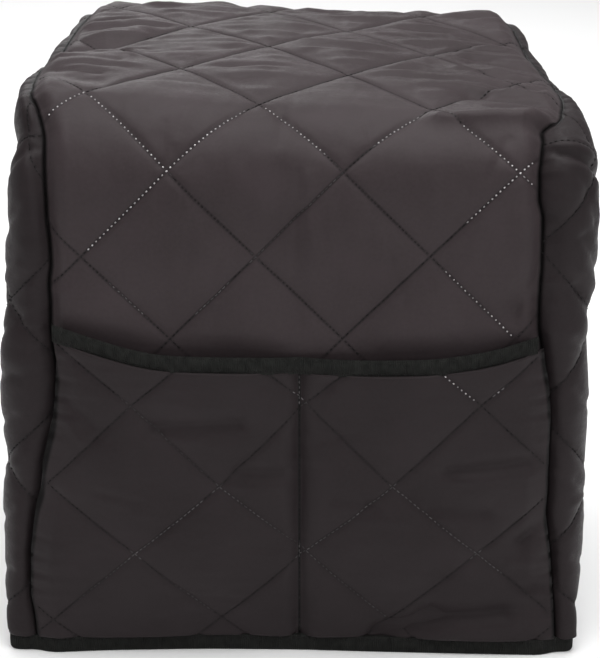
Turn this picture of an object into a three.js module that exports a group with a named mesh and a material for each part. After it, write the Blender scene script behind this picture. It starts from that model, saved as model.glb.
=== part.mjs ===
// A quilted cover for a table-top coffee machine, standing on its hem with its corners filled out.
// Millimetres, +Z up, +X to the viewer's right, the pocket face towards -Y.
// The origin is on the table, under the middle of the cover.
//
// One long panel runs up the front, over the top and down the back. A side panel is sewn to each
// of its long edges, a pocket panel lies over the lower front, and tapes bind the pocket's mouth
// and the hem. Every piece is a closed solid of its own, a small gap from the next.

import * as THREE from 'three';

// Driving dimensions
const GAP = 0.3;
const SEAM_GAP = 0.5;
const TAPE_GAP = 1.2;
const CLOTH_THICKNESS = 3;
const PUFF_HEIGHT = 3.2;
const SEAM_DEPTH = 4.5;
const SEAM_WIDTH = 7;
const DEPTH = 284;
const FRONT_TOP_RADIUS = 52;
const FRONT_TOP_HEIGHT = 336;
const BACK_TOP_RADIUS = 36;
const BACK_TOP_HEIGHT = 344;
const TOP_CROWN = 5;
const HEM_HEIGHT = 9.7;
const TAPE_HEIGHT = 10;
const TAPE_PROUD = 0.6;
const POCKET_GAPE = 7;
const POCKET_CLEARANCE = 0.5;
const SEWN_SHARE = 0.4;
const HALF_DIAMOND = 50;
const SIDE_ROUNDING = 24;
const SIDE_BACK_TAPER = 0.05;

// Where the cover's own zero point, at the front face between the seams, lies in the part's frame
const SHIFT_X = 3.4;
const FRONT_FACE_Y = -137.7;

// Grid steps: an eighth of a diamond along the cloth
const STEP = HALF_DIAMOND / 4;
const LATTICE_ALONG = 302;
const FRONT_ROWS = 26;
const TOP_ROWS = 22;
const ROWS = FRONT_ROWS + TOP_ROWS + FRONT_ROWS;
const FIRST_COLUMN = -12;
const LAST_COLUMN = 8;
const POCKET_ROWS = 16;
const POCKET_HALF_COLUMNS = 12;
const RING_DEPTHS = [0, 1.6, 6.5, 14, SIDE_ROUNDING];

// Stretches of the outer face, measured along the cloth from the table up the front
const FRONT_STRAIGHT = FRONT_TOP_HEIGHT - FRONT_TOP_RADIUS;
const FRONT_ARC_END = FRONT_STRAIGHT + FRONT_TOP_RADIUS * Math.PI / 2;
const TOP_RUN = DEPTH - FRONT_TOP_RADIUS - BACK_TOP_RADIUS;
const TOP_RISE = BACK_TOP_HEIGHT - FRONT_TOP_HEIGHT;
const TOP_END = FRONT_ARC_END + Math.hypot(TOP_RUN, TOP_RISE);
const BACK_ARC_END = TOP_END + BACK_TOP_RADIUS * Math.PI / 2;
const CLOTH_START = HEM_HEIGHT + GAP;
const CLOTH_END = BACK_ARC_END + BACK_TOP_HEIGHT - BACK_TOP_RADIUS - CLOTH_START;

// The two side seams: how far they lie from the middle, row by row along the long panel
const SEAMS = [
  { along: 10, left: -158.6, right: 154.4 },
  { along: 34, left: -162.5, right: 153.4 },
  { along: 52, left: -162.3, right: 151.1 },
  { along: 87, left: -157.2, right: 146 },
  { along: 126, left: -149.9, right: 147.3 },
  { along: 151, left: -144.5, right: 146.9 },
  { along: 175, left: -140.9, right: 143.6 },
  { along: 208, left: -144.3, right: 138.8 },
  { along: 244, left: -143.5, right: 139.7 },
  { along: 303, left: -145.3, right: 135.8 },
  { along: 318, left: -145.5, right: 137 },
  { along: 335, left: -148.5, right: 145 },
  { along: 350, left: -154.5, right: 153 },
  { along: 385, left: -157, right: 156 },
  { along: 417, left: -156, right: 155 },
  { along: 455, left: -150, right: 151 },
  { along: 500, left: -145.5, right: 145 },
  { along: 560, left: -138.5, right: 139.5 },
  { along: 605, left: -136, right: 138.5 },
  { along: 760, left: -142, right: 143 },
  { along: 918, left: -148, right: 147 },
];

// The side panels' widest line near the front corner, by height
const SIDES = [
  { height: 10, left: -180.5, right: 169 },
  { height: 34, left: -181.5, right: 170.7 },
  { height: 66, left: -178.5, right: 172 },
  { height: 107, left: -179.5, right: 172.6 },
  { height: 126, left: -178.5, right: 170.5 },
  { height: 175, left: -175.5, right: 169 },
  { height: 222, left: -170, right: 167.8 },
  { height: 244, left: -168, right: 169.5 },
  { height: 274, left: -166.4, right: 171.3 },
  { height: 303, left: -167.5, right: 170.5 },
  { height: 327, left: -165.5, right: 168 },
  { height: 345, left: -162, right: 163 },
];

// How wide the side panels are just under the top, by depth, and from what height that counts
const TOP_WIDTHS = [
  { depth: 40, left: -163, right: 170 },
  { depth: 70, left: -163.5, right: 167 },
  { depth: 100, left: -162.5, right: 162.5 },
  { depth: 190, left: -151.5, right: 151.5 },
  { depth: 284, left: -144, right: 145.5 },
];
const UNDER_TOP = { start: 240, end: 325, frontStart: 10, frontEnd: 80 };

// How far the cloth stands over its smooth form at the left, in the middle and at the right
const SAG_HALF_WIDTH = 140;
const SAGS = [
  { along: 230, left: 0, middle: 0, right: 0 },
  { along: 300, left: 2, middle: 0, right: -3 },
  { along: 345, left: 8, middle: -4, right: -7 },
  { along: 400, left: 4, middle: -1, right: -8 },
  { along: 450, left: -3, middle: -1, right: -13 },
  { along: 500, left: 1, middle: -1, right: -12 },
  { along: 560, left: 5, middle: 1.5, right: -2 },
  { along: 620, left: 1, middle: 0, right: -2 },
  { along: 700, left: 0, middle: 0, right: 0 },
];

// Where a line of stitch crossings lies along the long panel: the diamonds drift over the top
const LATTICE = [
  { along: 302, x: 22.8 },
  { along: 352, x: 26.1 },
  { along: 402, x: 29 },
  { along: 452, x: 30.5 },
];

// How square the corners are at the hem, beside the rounder ones above
const HEM_CORNER = { share: 0.3, height: 70 };

// How far the foot of the front lies back, from side to side, and how high up that fades out
const BOW = [
  { x: -158, back: 0 },
  { x: -120, back: 3 },
  { x: -60, back: 4.5 },
  { x: 0, back: 3.5 },
  { x: 40, back: 1 },
  { x: 90, back: -0.5 },
  { x: 150, back: 0 },
];
const BOW_HEIGHT = 60;

// The pocket mouth: the top of its tape
const MOUTH = [
  { x: -165, height: 217 },
  { x: -142.7, height: 212 },
  { x: -120.4, height: 205 },
  { x: -96.3, height: 198 },
  { x: -79.5, height: 195 },
  { x: -1.2, height: 190.5 },
  { x: 33.1, height: 189 },
  { x: 77.9, height: 189 },
  { x: 110.9, height: 194.5 },
  { x: 139, height: 204 },
  { x: 160, height: 210 },
];
const DIVIDER_X = -0.4;

// The pocket's own diamonds: stitch crossings by height, in half diamonds
const POCKET_LATTICE_X = 1.8;
const POCKET_HALF_WIDTH = 52.4;
const POCKET_CROSSINGS = [
  { height: -20, row: -4 },
  { height: 22, row: -3 },
  { height: 66, row: -2 },
  { height: 110, row: -1 },
  { height: 166, row: 0 },
  { height: 216, row: 1 },
];

// Main folds, as soft ridges and troughs on the long panel
const PANEL_FOLDS = [
  { fromX: 80, from: 342, toX: 156, to: 343, width: 9, rise: 4 },
  { fromX: 101, from: 378, toX: 150, to: 360, width: 9, rise: -4 },
  { fromX: -153, from: 385, toX: -118, to: 370, width: 9, rise: -3 },
  { fromX: -144, from: 447, toX: -77, to: 480, width: 10, rise: -2.5 },
  { fromX: -150, from: 415, toX: -105, to: 420, width: 9, rise: 2 },
  { fromX: 110, from: 450, toX: 142, to: 440, width: 10, rise: -3 },
  { fromX: 122, from: 219, toX: 136, to: 241, width: 9, rise: -3.5 },
  { fromX: -60, from: 262, toX: -66, to: 290, width: 10, rise: 1.8 },
  { fromX: -3, from: 215, toX: -8, to: 300, width: 9, rise: -1.6 },
  { fromX: 20, from: 560, toX: 110, to: 590, width: 12, rise: -2 },
  { fromX: -90, from: 700, toX: 60, to: 715, width: 14, rise: -2.2 },
  { fromX: 40, from: 800, toX: 130, to: 780, width: 14, rise: 2 },
];

// Main folds on the pocket panel, by height
const POCKET_FOLDS = [
  { fromX: 51, from: 13, toX: 79, to: 27, width: 8, rise: -3 },
  { fromX: 79, from: 27, toX: 146, to: 31, width: 8, rise: -3 },
  { fromX: 131, from: 74, toX: 146, to: 87, width: 8, rise: -3.5 },
  { fromX: 130, from: 51, toX: 150, to: 47, width: 8, rise: -2.5 },
  { fromX: 92, from: 126, toX: 140, to: 126, width: 9, rise: -2 },
  { fromX: 66, from: 108, toX: 112, to: 97, width: 9, rise: -2 },
  { fromX: -79, from: 152, toX: -38, to: 152, width: 9, rise: -1.8 },
  { fromX: -32, from: 120, toX: -4, to: 120, width: 9, rise: -1.8 },
  { fromX: -140, from: 172, toX: -120, to: 150, width: 9, rise: -2 },
];

// Main folds on the side panels, by depth and height
const SIDE_FOLDS = {
  right: [
    { fromX: 12, from: 318, toX: 62, to: 262, width: 9, rise: -4 },
    { fromX: 40, from: 288, toX: 16, to: 240, width: 9, rise: -3 },
    { fromX: 30, from: 250, toX: 10, to: 205, width: 9, rise: 2.5 },
    { fromX: 90, from: 200, toX: 190, to: 235, width: 16, rise: -2.5 },
    { fromX: 60, from: 110, toX: 170, to: 90, width: 16, rise: 2.5 },
    { fromX: 190, from: 300, toX: 235, to: 250, width: 12, rise: -3 },
  ],
  left: [
    { fromX: 10, from: 325, toX: 60, to: 290, width: 10, rise: -3 },
    { fromX: 22, from: 250, toX: 12, to: 190, width: 9, rise: 2.5 },
    { fromX: 20, from: 120, toX: 60, to: 90, width: 12, rise: -3 },
    { fromX: 90, from: 210, toX: 180, to: 180, width: 16, rise: -2.5 },
    { fromX: 180, from: 310, toX: 235, to: 260, width: 12, rise: -3 },
    { fromX: 110, from: 60, toX: 200, to: 80, width: 16, rise: 2.5 },
  ],
};
const SIDE_LATTICE = {
  right: { depth: 28, height: 306 },
  left: { depth: 14, height: 222 },
};

const smooth = (low, high, value) => THREE.MathUtils.smoothstep(value, low, high);

// Reads one column of a table, in straight steps between its rows
function readTable(table, key, column, value) {
  const last = table.length - 1;
  if (value <= table[0][key]) return table[0][column];
  if (value >= table[last][key]) return table[last][column];
  const next = table.findIndex((row) => row[key] > value);
  const below = table[next - 1];
  const above = table[next];
  const share = (value - below[key]) / (above[key] - below[key]);
  return below[column] + (above[column] - below[column]) * share;
}

// A place on the long panel's outer face: depth, height and the way out of the cloth
function profile(along) {
  if (along <= FRONT_STRAIGHT) {
    return { depth: 0, height: along, outDepth: -1, outHeight: 0 };
  }
  if (along <= FRONT_ARC_END) {
    const turn = (along - FRONT_STRAIGHT) / FRONT_TOP_RADIUS;
    return {
      depth: FRONT_TOP_RADIUS * (1 - Math.cos(turn)),
      height: FRONT_STRAIGHT + FRONT_TOP_RADIUS * Math.sin(turn),
      outDepth: -Math.cos(turn),
      outHeight: Math.sin(turn),
    };
  }
  if (along <= TOP_END) {
    const share = (along - FRONT_ARC_END) / (TOP_END - FRONT_ARC_END);
    return {
      depth: FRONT_TOP_RADIUS + TOP_RUN * share,
      height: FRONT_TOP_HEIGHT + TOP_RISE * share + TOP_CROWN * Math.sin(Math.PI * share),
      outDepth: 0,
      outHeight: 1,
    };
  }
  if (along <= BACK_ARC_END) {
    const turn = (along - TOP_END) / BACK_TOP_RADIUS;
    return {
      depth: DEPTH - BACK_TOP_RADIUS * (1 - Math.sin(turn)),
      height: BACK_TOP_HEIGHT - BACK_TOP_RADIUS * (1 - Math.cos(turn)),
      outDepth: Math.sin(turn),
      outHeight: Math.cos(turn),
    };
  }
  const fall = along - BACK_ARC_END;
  return { depth: DEPTH, height: BACK_TOP_HEIGHT - BACK_TOP_RADIUS - fall, outDepth: 1, outHeight: 0 };
}

const seamAt = (side, along) => readTable(SEAMS, 'along', side, along);
const mouthAt = (x) => readTable(MOUTH, 'x', 'height', x);
const latticeAt = (along) => readTable(LATTICE, 'along', 'x', along);

// The cloth's rise or sag at a place, on a curve through its left, middle and right
function sagAt(x, along) {
  const left = readTable(SAGS, 'along', 'left', along);
  const middle = readTable(SAGS, 'along', 'middle', along);
  const right = readTable(SAGS, 'along', 'right', along);
  const share = x / SAG_HALF_WIDTH;
  return middle + (right - left) / 2 * share + ((right + left) / 2 - middle) * share * share;
}

// Wadding between stitch lines, from places in half diamonds: 0 on a line, 1 in a diamond's middle
function puff(across, up) {
  const rising = Math.abs(Math.sin(Math.PI * (up - across) / 2));
  const falling = Math.abs(Math.sin(Math.PI * (up + across) / 2));
  return Math.sqrt(rising * falling);
}

// The puff of a lattice of even diamonds, from a stitch crossing's place
function evenPuff(across, up) {
  return PUFF_HEIGHT * puff(across / HALF_DIAMOND, up / HALF_DIAMOND);
}

// Soft ridges and troughs, each along a straight line
function foldHeight(folds, x, up) {
  let height = 0;
  for (const fold of folds) {
    const runX = fold.toX - fold.fromX;
    const runUp = fold.to - fold.from;
    const reach = ((x - fold.fromX) * runX + (up - fold.from) * runUp) / (runX * runX + runUp * runUp);
    const nearest = THREE.MathUtils.clamp(reach, 0, 1);
    const missX = x - fold.fromX - nearest * runX;
    const missUp = up - fold.from - nearest * runUp;
    height += fold.rise * Math.exp(-(missX * missX + missUp * missUp) / (fold.width * fold.width));
  }
  return height;
}

// The cloth is drawn in beside a seam, less so where the hem holds it
function drawIn(x, along) {
  const toSeam = Math.min(x - seamAt('left', along), seamAt('right', along) - x);
  const hemHold = smooth(CLOTH_START, 70, along) * smooth(CLOTH_START, 70, CLOTH_END + CLOTH_START - along);
  const depth = SEAM_DEPTH * (0.3 + 0.7 * hemHold);
  return depth * Math.exp(-(toSeam * toSeam) / (SEAM_WIDTH * SEAM_WIDTH));
}

// A point of the long panel, a distance out from its smooth outer face
function panelPoint(x, along, out) {
  const place = profile(along);
  const bow = readTable(BOW, 'x', 'back', x) * (1 - smooth(CLOTH_START, BOW_HEIGHT, along));
  return new THREE.Vector3(
    x + SHIFT_X,
    FRONT_FACE_Y + place.depth + bow + place.outDepth * out,
    place.height + (sagAt(x, along) + out) * place.outHeight,
  );
}

function alongOfRow(row) {
  if (row === 0) return CLOTH_START;
  if (row === ROWS) return CLOTH_END;
  return LATTICE_ALONG + STEP * (row - FRONT_ROWS + 2);
}

// Columns follow the diamonds, with the seams and one half-way line beside each seam added
function columnsOfRow(along) {
  const inner = [];
  for (let column = FIRST_COLUMN; column <= LAST_COLUMN; column += 1) {
    inner.push(latticeAt(along) + STEP * column);
  }
  const left = seamAt('left', along);
  const right = seamAt('right', along);
  return [left, (left + inner[0]) / 2, ...inner, (inner.at(-1) + right) / 2, right];
}

// One face of a grid: its points, its triangles and the loop of its rim
function gridFace(grid, lows) {
  const rows = grid.length;
  const columns = grid[0].length;
  const at = (row, column) => row * columns + column;
  const triangles = [];
  for (let row = 0; row < rows - 1; row += 1) {
    for (let column = 0; column < columns - 1; column += 1) {
      const corners = [at(row, column), at(row, column + 1), at(row + 1, column + 1), at(row + 1, column)];
      const rising = lows[row][column] + lows[row + 1][column + 1];
      const falling = lows[row][column + 1] + lows[row + 1][column];
      triangles.push(...splitQuad(corners, rising <= falling));
    }
  }
  const rim = [];
  for (let column = 0; column < columns - 1; column += 1) rim.push(at(0, column));
  for (let row = 0; row < rows - 1; row += 1) rim.push(at(row, columns - 1));
  for (let column = columns - 1; column > 0; column -= 1) rim.push(at(rows - 1, column));
  for (let row = rows - 1; row > 0; row -= 1) rim.push(at(row, 0));
  return { points: grid.flat(), triangles, rim };
}

function splitQuad([a, b, c, d], firstWay) {
  return firstWay ? [[a, b, c], [a, c, d]] : [[a, b, d], [b, c, d]];
}

const everySecond = (list) => list.filter((_, index) => index % 2 === 0);

// Joins an outer face to an inner one with half as many steps round its rim
function closeSolid(outer, inner) {
  const base = outer.points.length;
  const triangles = [...outer.triangles];
  for (const [a, b, c] of inner.triangles) triangles.push([base + a, base + c, base + b]);
  const steps = inner.rim.length;
  for (let step = 0; step < steps; step += 1) {
    const outerRim = [0, 1, 2].map((ahead) => outer.rim[(2 * step + ahead) % outer.rim.length]);
    const innerRim = [0, 1].map((ahead) => base + inner.rim[(step + ahead) % steps]);
    triangles.push([outerRim[1], outerRim[0], innerRim[0]]);
    triangles.push([outerRim[1], innerRim[0], innerRim[1]]);
    triangles.push([outerRim[2], outerRim[1], innerRim[1]]);
  }
  return solidGeometry([...outer.points, ...inner.points], triangles);
}

function solidGeometry(points, triangles) {
  const geometry = new THREE.BufferGeometry();
  const positions = points.flatMap((point) => point.toArray());
  geometry.setAttribute('position', new THREE.Float32BufferAttribute(positions, 3));
  geometry.setIndex(triangles.flat());
  geometry.computeVertexNormals();
  return geometry;
}

// The long panel: front, top and back in one length
function longPanel() {
  const outerGrid = [];
  const lows = [];
  for (let row = 0; row <= ROWS; row += 1) {
    const along = alongOfRow(row);
    const columns = columnsOfRow(along);
    const heights = columns.map((x) => {
      const clearOfPocket = smooth(mouthAt(x) + 2, mouthAt(x) + 18, along);
      const diamonds = evenPuff(x - latticeAt(along), along - LATTICE_ALONG);
      const relief = diamonds + foldHeight(PANEL_FOLDS, x, along);
      const inside = Math.min(1, (x - columns[0]) / STEP, (columns.at(-1) - x) / STEP);
      return relief * clearOfPocket * inside - drawIn(x, along);
    });
    outerGrid.push(columns.map((x, index) => panelPoint(x, along, heights[index])));
    lows.push(heights);
  }
  const innerGrid = [];
  for (let row = 0; row <= ROWS; row += 2) {
    const along = alongOfRow(row);
    innerGrid.push(everySecond(columnsOfRow(along)).map((x) => (
      panelPoint(x, along, -CLOTH_THICKNESS - drawIn(x, along))
    )));
  }
  const flat = innerGrid.map((points) => points.map(() => 0));
  return closeSolid(gridFace(outerGrid, lows), gridFace(innerGrid, flat));
}

// Rounds a side panel from its seam to its widest line: 0 at the seam, 1 past the rounding
function sideSwell(depthFromSeam) {
  const short = 1 - Math.min(1, depthFromSeam / SIDE_ROUNDING);
  return Math.sqrt(1 - short * short);
}

// How far a side panel reaches out at its widest, narrower just under the top
function widestAt(side, depth, height) {
  const wall = readTable(SIDES, 'height', side, height) * (1 - SIDE_BACK_TAPER * depth / DEPTH);
  const { start, end, frontStart, frontEnd } = UNDER_TOP;
  const share = smooth(start, end, height) * smooth(frontStart, frontEnd, depth);
  return wall + (readTable(TOP_WIDTHS, 'depth', side, depth) - wall) * share;
}

// A side panel is a few rings of points beside its seam, and a grid that fills them
function sideFace(side, step) {
  const sign = side === 'right' ? 1 : -1;
  const rings = RING_DEPTHS.filter((_, index) => index % step === 0);
  const last = rings.length - 1;
  const seamSteps = ROWS / step;
  const rows = FRONT_ROWS / step;
  const columns = TOP_ROWS / step;
  const nodes = [];

  const addNode = (depth, height, inward, seamX, edge) => {
    const widest = widestAt(side, depth, height);
    const x = seamX + (widest - seamX) * sideSwell(inward) + (edge ? sign * SEAM_GAP : 0);
    nodes.push({ x, depth, height, edge });
    return nodes.length - 1;
  };

  const ringNodes = rings.map((inward, ring) => {
    const list = [];
    for (let index = 0; index <= seamSteps; index += 1) {
      const along = alongOfRow(index * step);
      const seamX = seamAt(side, along);
      const place = profile(along);
      const aboveHem = Math.min(along, CLOTH_END + CLOTH_START - along);
      const rounding = smooth(CLOTH_START, HEM_CORNER.height, aboveHem);
      const square = HEM_CORNER.share + (1 - HEM_CORNER.share) * rounding;
      const sink = ring === 0 ? drawIn(seamX, along) : inward * square;
      const edge = panelPoint(seamX, along, -sink);
      const node = addNode(edge.y - FRONT_FACE_Y, edge.z, inward, seamX, ring === 0);
      nodes[node].out = new THREE.Vector3(0, place.outDepth, place.outHeight);
      list.push(node);
    }
    return list;
  });

  const inmost = ringNodes[last];
  const grid = [];
  for (let row = 0; row <= rows; row += 1) {
    const front = nodes[inmost[row]];
    const back = nodes[inmost[seamSteps - row]];
    const rise = row / rows;
    const line = [inmost[row]];
    for (let column = 1; column < columns; column += 1) {
      const run = column / columns;
      if (row === rows) {
        line.push(inmost[rows + column]);
        continue;
      }
      const top = nodes[inmost[rows + column]];
      const bottomFront = nodes[inmost[0]];
      const bottomBack = nodes[inmost[seamSteps]];
      const topFront = nodes[inmost[rows]];
      const topBack = nodes[inmost[rows + columns]];
      const blend = (key) => {
        const bottom = bottomFront[key] + (bottomBack[key] - bottomFront[key]) * run;
        const sides = front[key] + (back[key] - front[key]) * run;
        const ends = bottom + (top[key] - bottom) * rise;
        const cornersLow = bottomFront[key] * (1 - run) + bottomBack[key] * run;
        const cornersHigh = topFront[key] * (1 - run) + topBack[key] * run;
        return sides + ends - (cornersLow * (1 - rise) + cornersHigh * rise);
      };
      line.push(addNode(blend('depth'), blend('height'), SIDE_ROUNDING, 0, false));
    }
    line.push(inmost[seamSteps - row]);
    grid.push(line);
  }

  const quads = [];
  for (let ring = 0; ring < last; ring += 1) {
    for (let index = 0; index < seamSteps; index += 1) {
      quads.push([
        ringNodes[ring][index],
        ringNodes[ring + 1][index],
        ringNodes[ring + 1][index + 1],
        ringNodes[ring][index + 1],
      ]);
    }
  }
  for (let row = 0; row < rows; row += 1) {
    const lower = grid[row];
    const upper = grid[row + 1];
    for (let column = 0; column < columns; column += 1) {
      quads.push([lower[column], lower[column + 1], upper[column + 1], upper[column]]);
    }
  }

  const rim = ringNodes.map((list) => list[0]);
  rim.push(...grid[0].slice(1, -1));
  for (let ring = last; ring > 0; ring -= 1) rim.push(ringNodes[ring][seamSteps]);
  const foot = rim.slice(1);
  for (let index = seamSteps; index > 0; index -= 1) rim.push(ringNodes[0][index]);
  return { nodes, quads, rim, foot, sign };
}

// Smooth ways out of a side panel at each of its nodes
function sideNormals({ nodes, quads, sign }) {
  const points = nodes.map(({ x, depth, height }) => (
    new THREE.Vector3(x + SHIFT_X, FRONT_FACE_Y + depth, height)
  ));
  const outs = nodes.map(() => new THREE.Vector3());
  for (const [a, b, c, d] of quads) {
    const across = points[c].clone().sub(points[a]);
    const up = points[d].clone().sub(points[b]);
    const facing = across.cross(up).multiplyScalar(sign);
    for (const corner of [a, b, c, d]) outs[corner].add(facing);
  }
  outs.forEach((out, index) => {
    const node = nodes[index];
    if (node.edge) out.copy(node.out);
    if (node.height < CLOTH_START + 1) out.z = 0;
    out.normalize();
  });
  return { points, outs };
}

function sidePanel(side) {
  const face = sideFace(side, 1);
  const { points, outs } = sideNormals(face);
  const lattice = SIDE_LATTICE[side];
  const heights = face.nodes.map((node) => {
    if (node.edge) return 0;
    const diamonds = evenPuff(node.depth - lattice.depth, node.height - lattice.height);
    return diamonds + foldHeight(SIDE_FOLDS[side], node.depth, node.height);
  });
  const raised = (skin, away) => skin.points.map((point, index) => (
    point.clone().addScaledVector(skin.outs[index], away(index))
  ));
  const outer = {
    points: raised({ points, outs }, (index) => heights[index]),
    triangles: face.quads.flatMap((quad) => {
      const low = heights[quad[0]] + heights[quad[2]] <= heights[quad[1]] + heights[quad[3]];
      return splitQuad(quad, low);
    }),
    rim: face.rim,
  };
  const coarse = sideFace(side, 2);
  const inner = {
    points: raised(sideNormals(coarse), () => -CLOTH_THICKNESS),
    triangles: coarse.quads.flatMap((quad) => splitQuad(quad, true)),
    rim: coarse.rim,
  };
  if (side === 'left') {
    for (const skin of [outer, inner]) {
      skin.triangles = skin.triangles.map(([a, b, c]) => [a, c, b]);
      skin.rim.reverse();
    }
  }
  return closeSolid(outer, inner);
}

// How far the pocket cloth stands off the front: open at the mouth, closed at its seams
function pocketGape(x, height) {
  const left = seamAt('left', height);
  const right = seamAt('right', height);
  const share = x < DIVIDER_X ? (x - left) / (DIVIDER_X - left) : (x - DIVIDER_X) / (right - DIVIDER_X);
  const bow = Math.sin(Math.PI * THREE.MathUtils.clamp(share, 0, 1)) ** 0.6;
  return POCKET_GAPE * bow * smooth(CLOTH_START, 80, height);
}

function pocketBack(x, height) {
  return pocketGape(x, height) + POCKET_CLEARANCE;
}

// Columns of the pocket: even steps from each seam to the divider
function pocketColumns(height) {
  const columns = [];
  for (let step = 0; step <= 2 * POCKET_HALF_COLUMNS; step += 1) {
    const side = step <= POCKET_HALF_COLUMNS ? 'left' : 'right';
    const share = Math.abs(step - POCKET_HALF_COLUMNS) / POCKET_HALF_COLUMNS;
    columns.push(DIVIDER_X + (seamAt(side, height) - DIVIDER_X) * share);
  }
  return columns;
}

// The pocket cloth's top edge, under the tape that binds it
const pocketTop = (x) => mouthAt(x) - TAPE_HEIGHT - TAPE_GAP;

function pocketPanel() {
  const pocketGrid = (step, out) => {
    const grid = [];
    const lows = [];
    for (let row = 0; row <= POCKET_ROWS; row += step) {
      const guess = CLOTH_START + (190 - CLOTH_START) * row / POCKET_ROWS;
      const columns = pocketColumns(guess).filter((_, index) => index % step === 0);
      const line = columns.map((x) => {
        const height = CLOTH_START + (pocketTop(x) - CLOTH_START) * row / POCKET_ROWS;
        return { x, height, out: out(x, height, columns) };
      });
      grid.push(line.map(({ x, height, out: away }) => panelPoint(x, height, away)));
      lows.push(line.map(({ out: away }) => away));
    }
    return gridFace(grid, lows);
  };
  const front = (x, height, columns) => {
    const up = readTable(POCKET_CROSSINGS, 'height', 'row', height);
    const across = (x - POCKET_LATTICE_X) / POCKET_HALF_WIDTH;
    const rim = Math.min(1, (x - columns[0]) / STEP, (columns.at(-1) - x) / STEP);
    const sewn = Math.min(1, Math.abs(x - DIVIDER_X) / STEP);
    const relief = PUFF_HEIGHT * puff(across, up) + foldHeight(POCKET_FOLDS, x, height);
    const thickness = CLOTH_THICKNESS * (SEWN_SHARE + (1 - SEWN_SHARE) * rim);
    return pocketBack(x, height) + thickness + relief * rim * sewn;
  };
  return closeSolid(pocketGrid(1, front), pocketGrid(2, pocketBack));
}

// A tape of rectangular section swept through rings of four corners
function sweepTape(sections, closed) {
  const points = sections.flat();
  const triangles = [];
  const count = sections.length;
  const steps = closed ? count : count - 1;
  for (let step = 0; step < steps; step += 1) {
    for (let corner = 0; corner < 4; corner += 1) {
      const here = step * 4;
      const there = ((step + 1) % count) * 4;
      const next = (corner + 1) % 4;
      triangles.push(...splitQuad([here + corner, there + corner, there + next, here + next], true));
    }
  }
  if (!closed) {
    const end = (count - 1) * 4;
    triangles.push([0, 1, 2], [0, 2, 3], [end, end + 2, end + 1], [end, end + 3, end + 2]);
  }
  return solidGeometry(points, triangles);
}

function pocketBinding() {
  const sections = pocketColumns(200).map((x) => {
    const top = mouthAt(x);
    const back = pocketBack(x, top);
    const front = back + CLOTH_THICKNESS + TAPE_PROUD;
    return [
      panelPoint(x, top - TAPE_HEIGHT, front),
      panelPoint(x, top, front),
      panelPoint(x, top, back),
      panelPoint(x, top - TAPE_HEIGHT, back),
    ];
  });
  return sweepTape(sections, false);
}

// The hem tape: one ring round the lower edges of the four walls
function hemBinding() {
  const path = [];
  const follow = (point, out, proud) => path.push({ point, out, proud });
  const panelEdge = (row, proud) => {
    const along = alongOfRow(row);
    const place = profile(along);
    const out = new THREE.Vector3(0, place.outDepth, 0);
    const columns = everySecond(columnsOfRow(along));
    const run = row === 0 ? columns : columns.reverse();
    for (const x of run) follow(panelPoint(x, along, -drawIn(x, along)), out, proud);
  };
  const sideEdge = (side) => {
    const face = sideFace(side, 2);
    const { points, outs } = sideNormals(face);
    const run = side === 'right' ? face.foot : [...face.foot].reverse();
    for (const node of run) follow(points[node], outs[node], TAPE_PROUD);
  };
  panelEdge(0, CLOTH_THICKNESS + POCKET_CLEARANCE + TAPE_PROUD);
  sideEdge('right');
  panelEdge(ROWS, TAPE_PROUD);
  sideEdge('left');
  const sections = path.map(({ point, out, proud }) => {
    const corner = (away, height) => point.clone().addScaledVector(out, away).setZ(height);
    const back = -CLOTH_THICKNESS - TAPE_PROUD;
    return [corner(proud, 0), corner(proud, HEM_HEIGHT), corner(back, HEM_HEIGHT), corner(back, 0)];
  });
  return sweepTape(sections, true);
}

const CLOTH_LOOK = { color: 0x413b3e, roughness: 0.5, metalness: 0 };
const TAPE_LOOK = { color: 0x262825, roughness: 0.75, metalness: 0 };

function piece(name, geometry, look) {
  const mesh = new THREE.Mesh(geometry, new THREE.MeshStandardMaterial(look));
  mesh.name = name;
  return mesh;
}

const cover = new THREE.Group();
cover.add(piece('main_panel', longPanel(), CLOTH_LOOK));
cover.add(piece('side_panel_left', sidePanel('left'), CLOTH_LOOK));
cover.add(piece('side_panel_right', sidePanel('right'), CLOTH_LOOK));
cover.add(piece('pocket_panel', pocketPanel(), CLOTH_LOOK));
cover.add(piece('pocket_binding', pocketBinding(), TAPE_LOOK));
cover.add(piece('hem_binding', hemBinding(), TAPE_LOOK));

export default cover;
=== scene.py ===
import math

import bpy
import numpy as np
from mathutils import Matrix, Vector
from mathutils.bvhtree import BVHTree
from mathutils.interpolate import poly_3d_calc


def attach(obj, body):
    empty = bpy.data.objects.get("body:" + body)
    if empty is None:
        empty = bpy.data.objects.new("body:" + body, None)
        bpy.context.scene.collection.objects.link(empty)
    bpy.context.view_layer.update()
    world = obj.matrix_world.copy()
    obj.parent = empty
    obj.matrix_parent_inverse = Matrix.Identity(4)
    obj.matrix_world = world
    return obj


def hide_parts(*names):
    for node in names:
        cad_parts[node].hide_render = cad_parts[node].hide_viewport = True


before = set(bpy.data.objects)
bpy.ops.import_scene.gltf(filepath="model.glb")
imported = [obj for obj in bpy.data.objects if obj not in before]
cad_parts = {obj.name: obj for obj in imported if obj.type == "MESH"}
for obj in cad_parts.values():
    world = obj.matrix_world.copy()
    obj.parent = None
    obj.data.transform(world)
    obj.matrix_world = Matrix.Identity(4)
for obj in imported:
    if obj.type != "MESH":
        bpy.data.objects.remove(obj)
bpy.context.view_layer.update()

# A quilted coffee machine cover. Sizes are in millimetres until a mesh is made.
MM = 0.001

# The cover's own zero point, at the front face between the seams, in the frame
SHIFT_X = 3.4
FRONT_FACE_Y = -137.7

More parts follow.
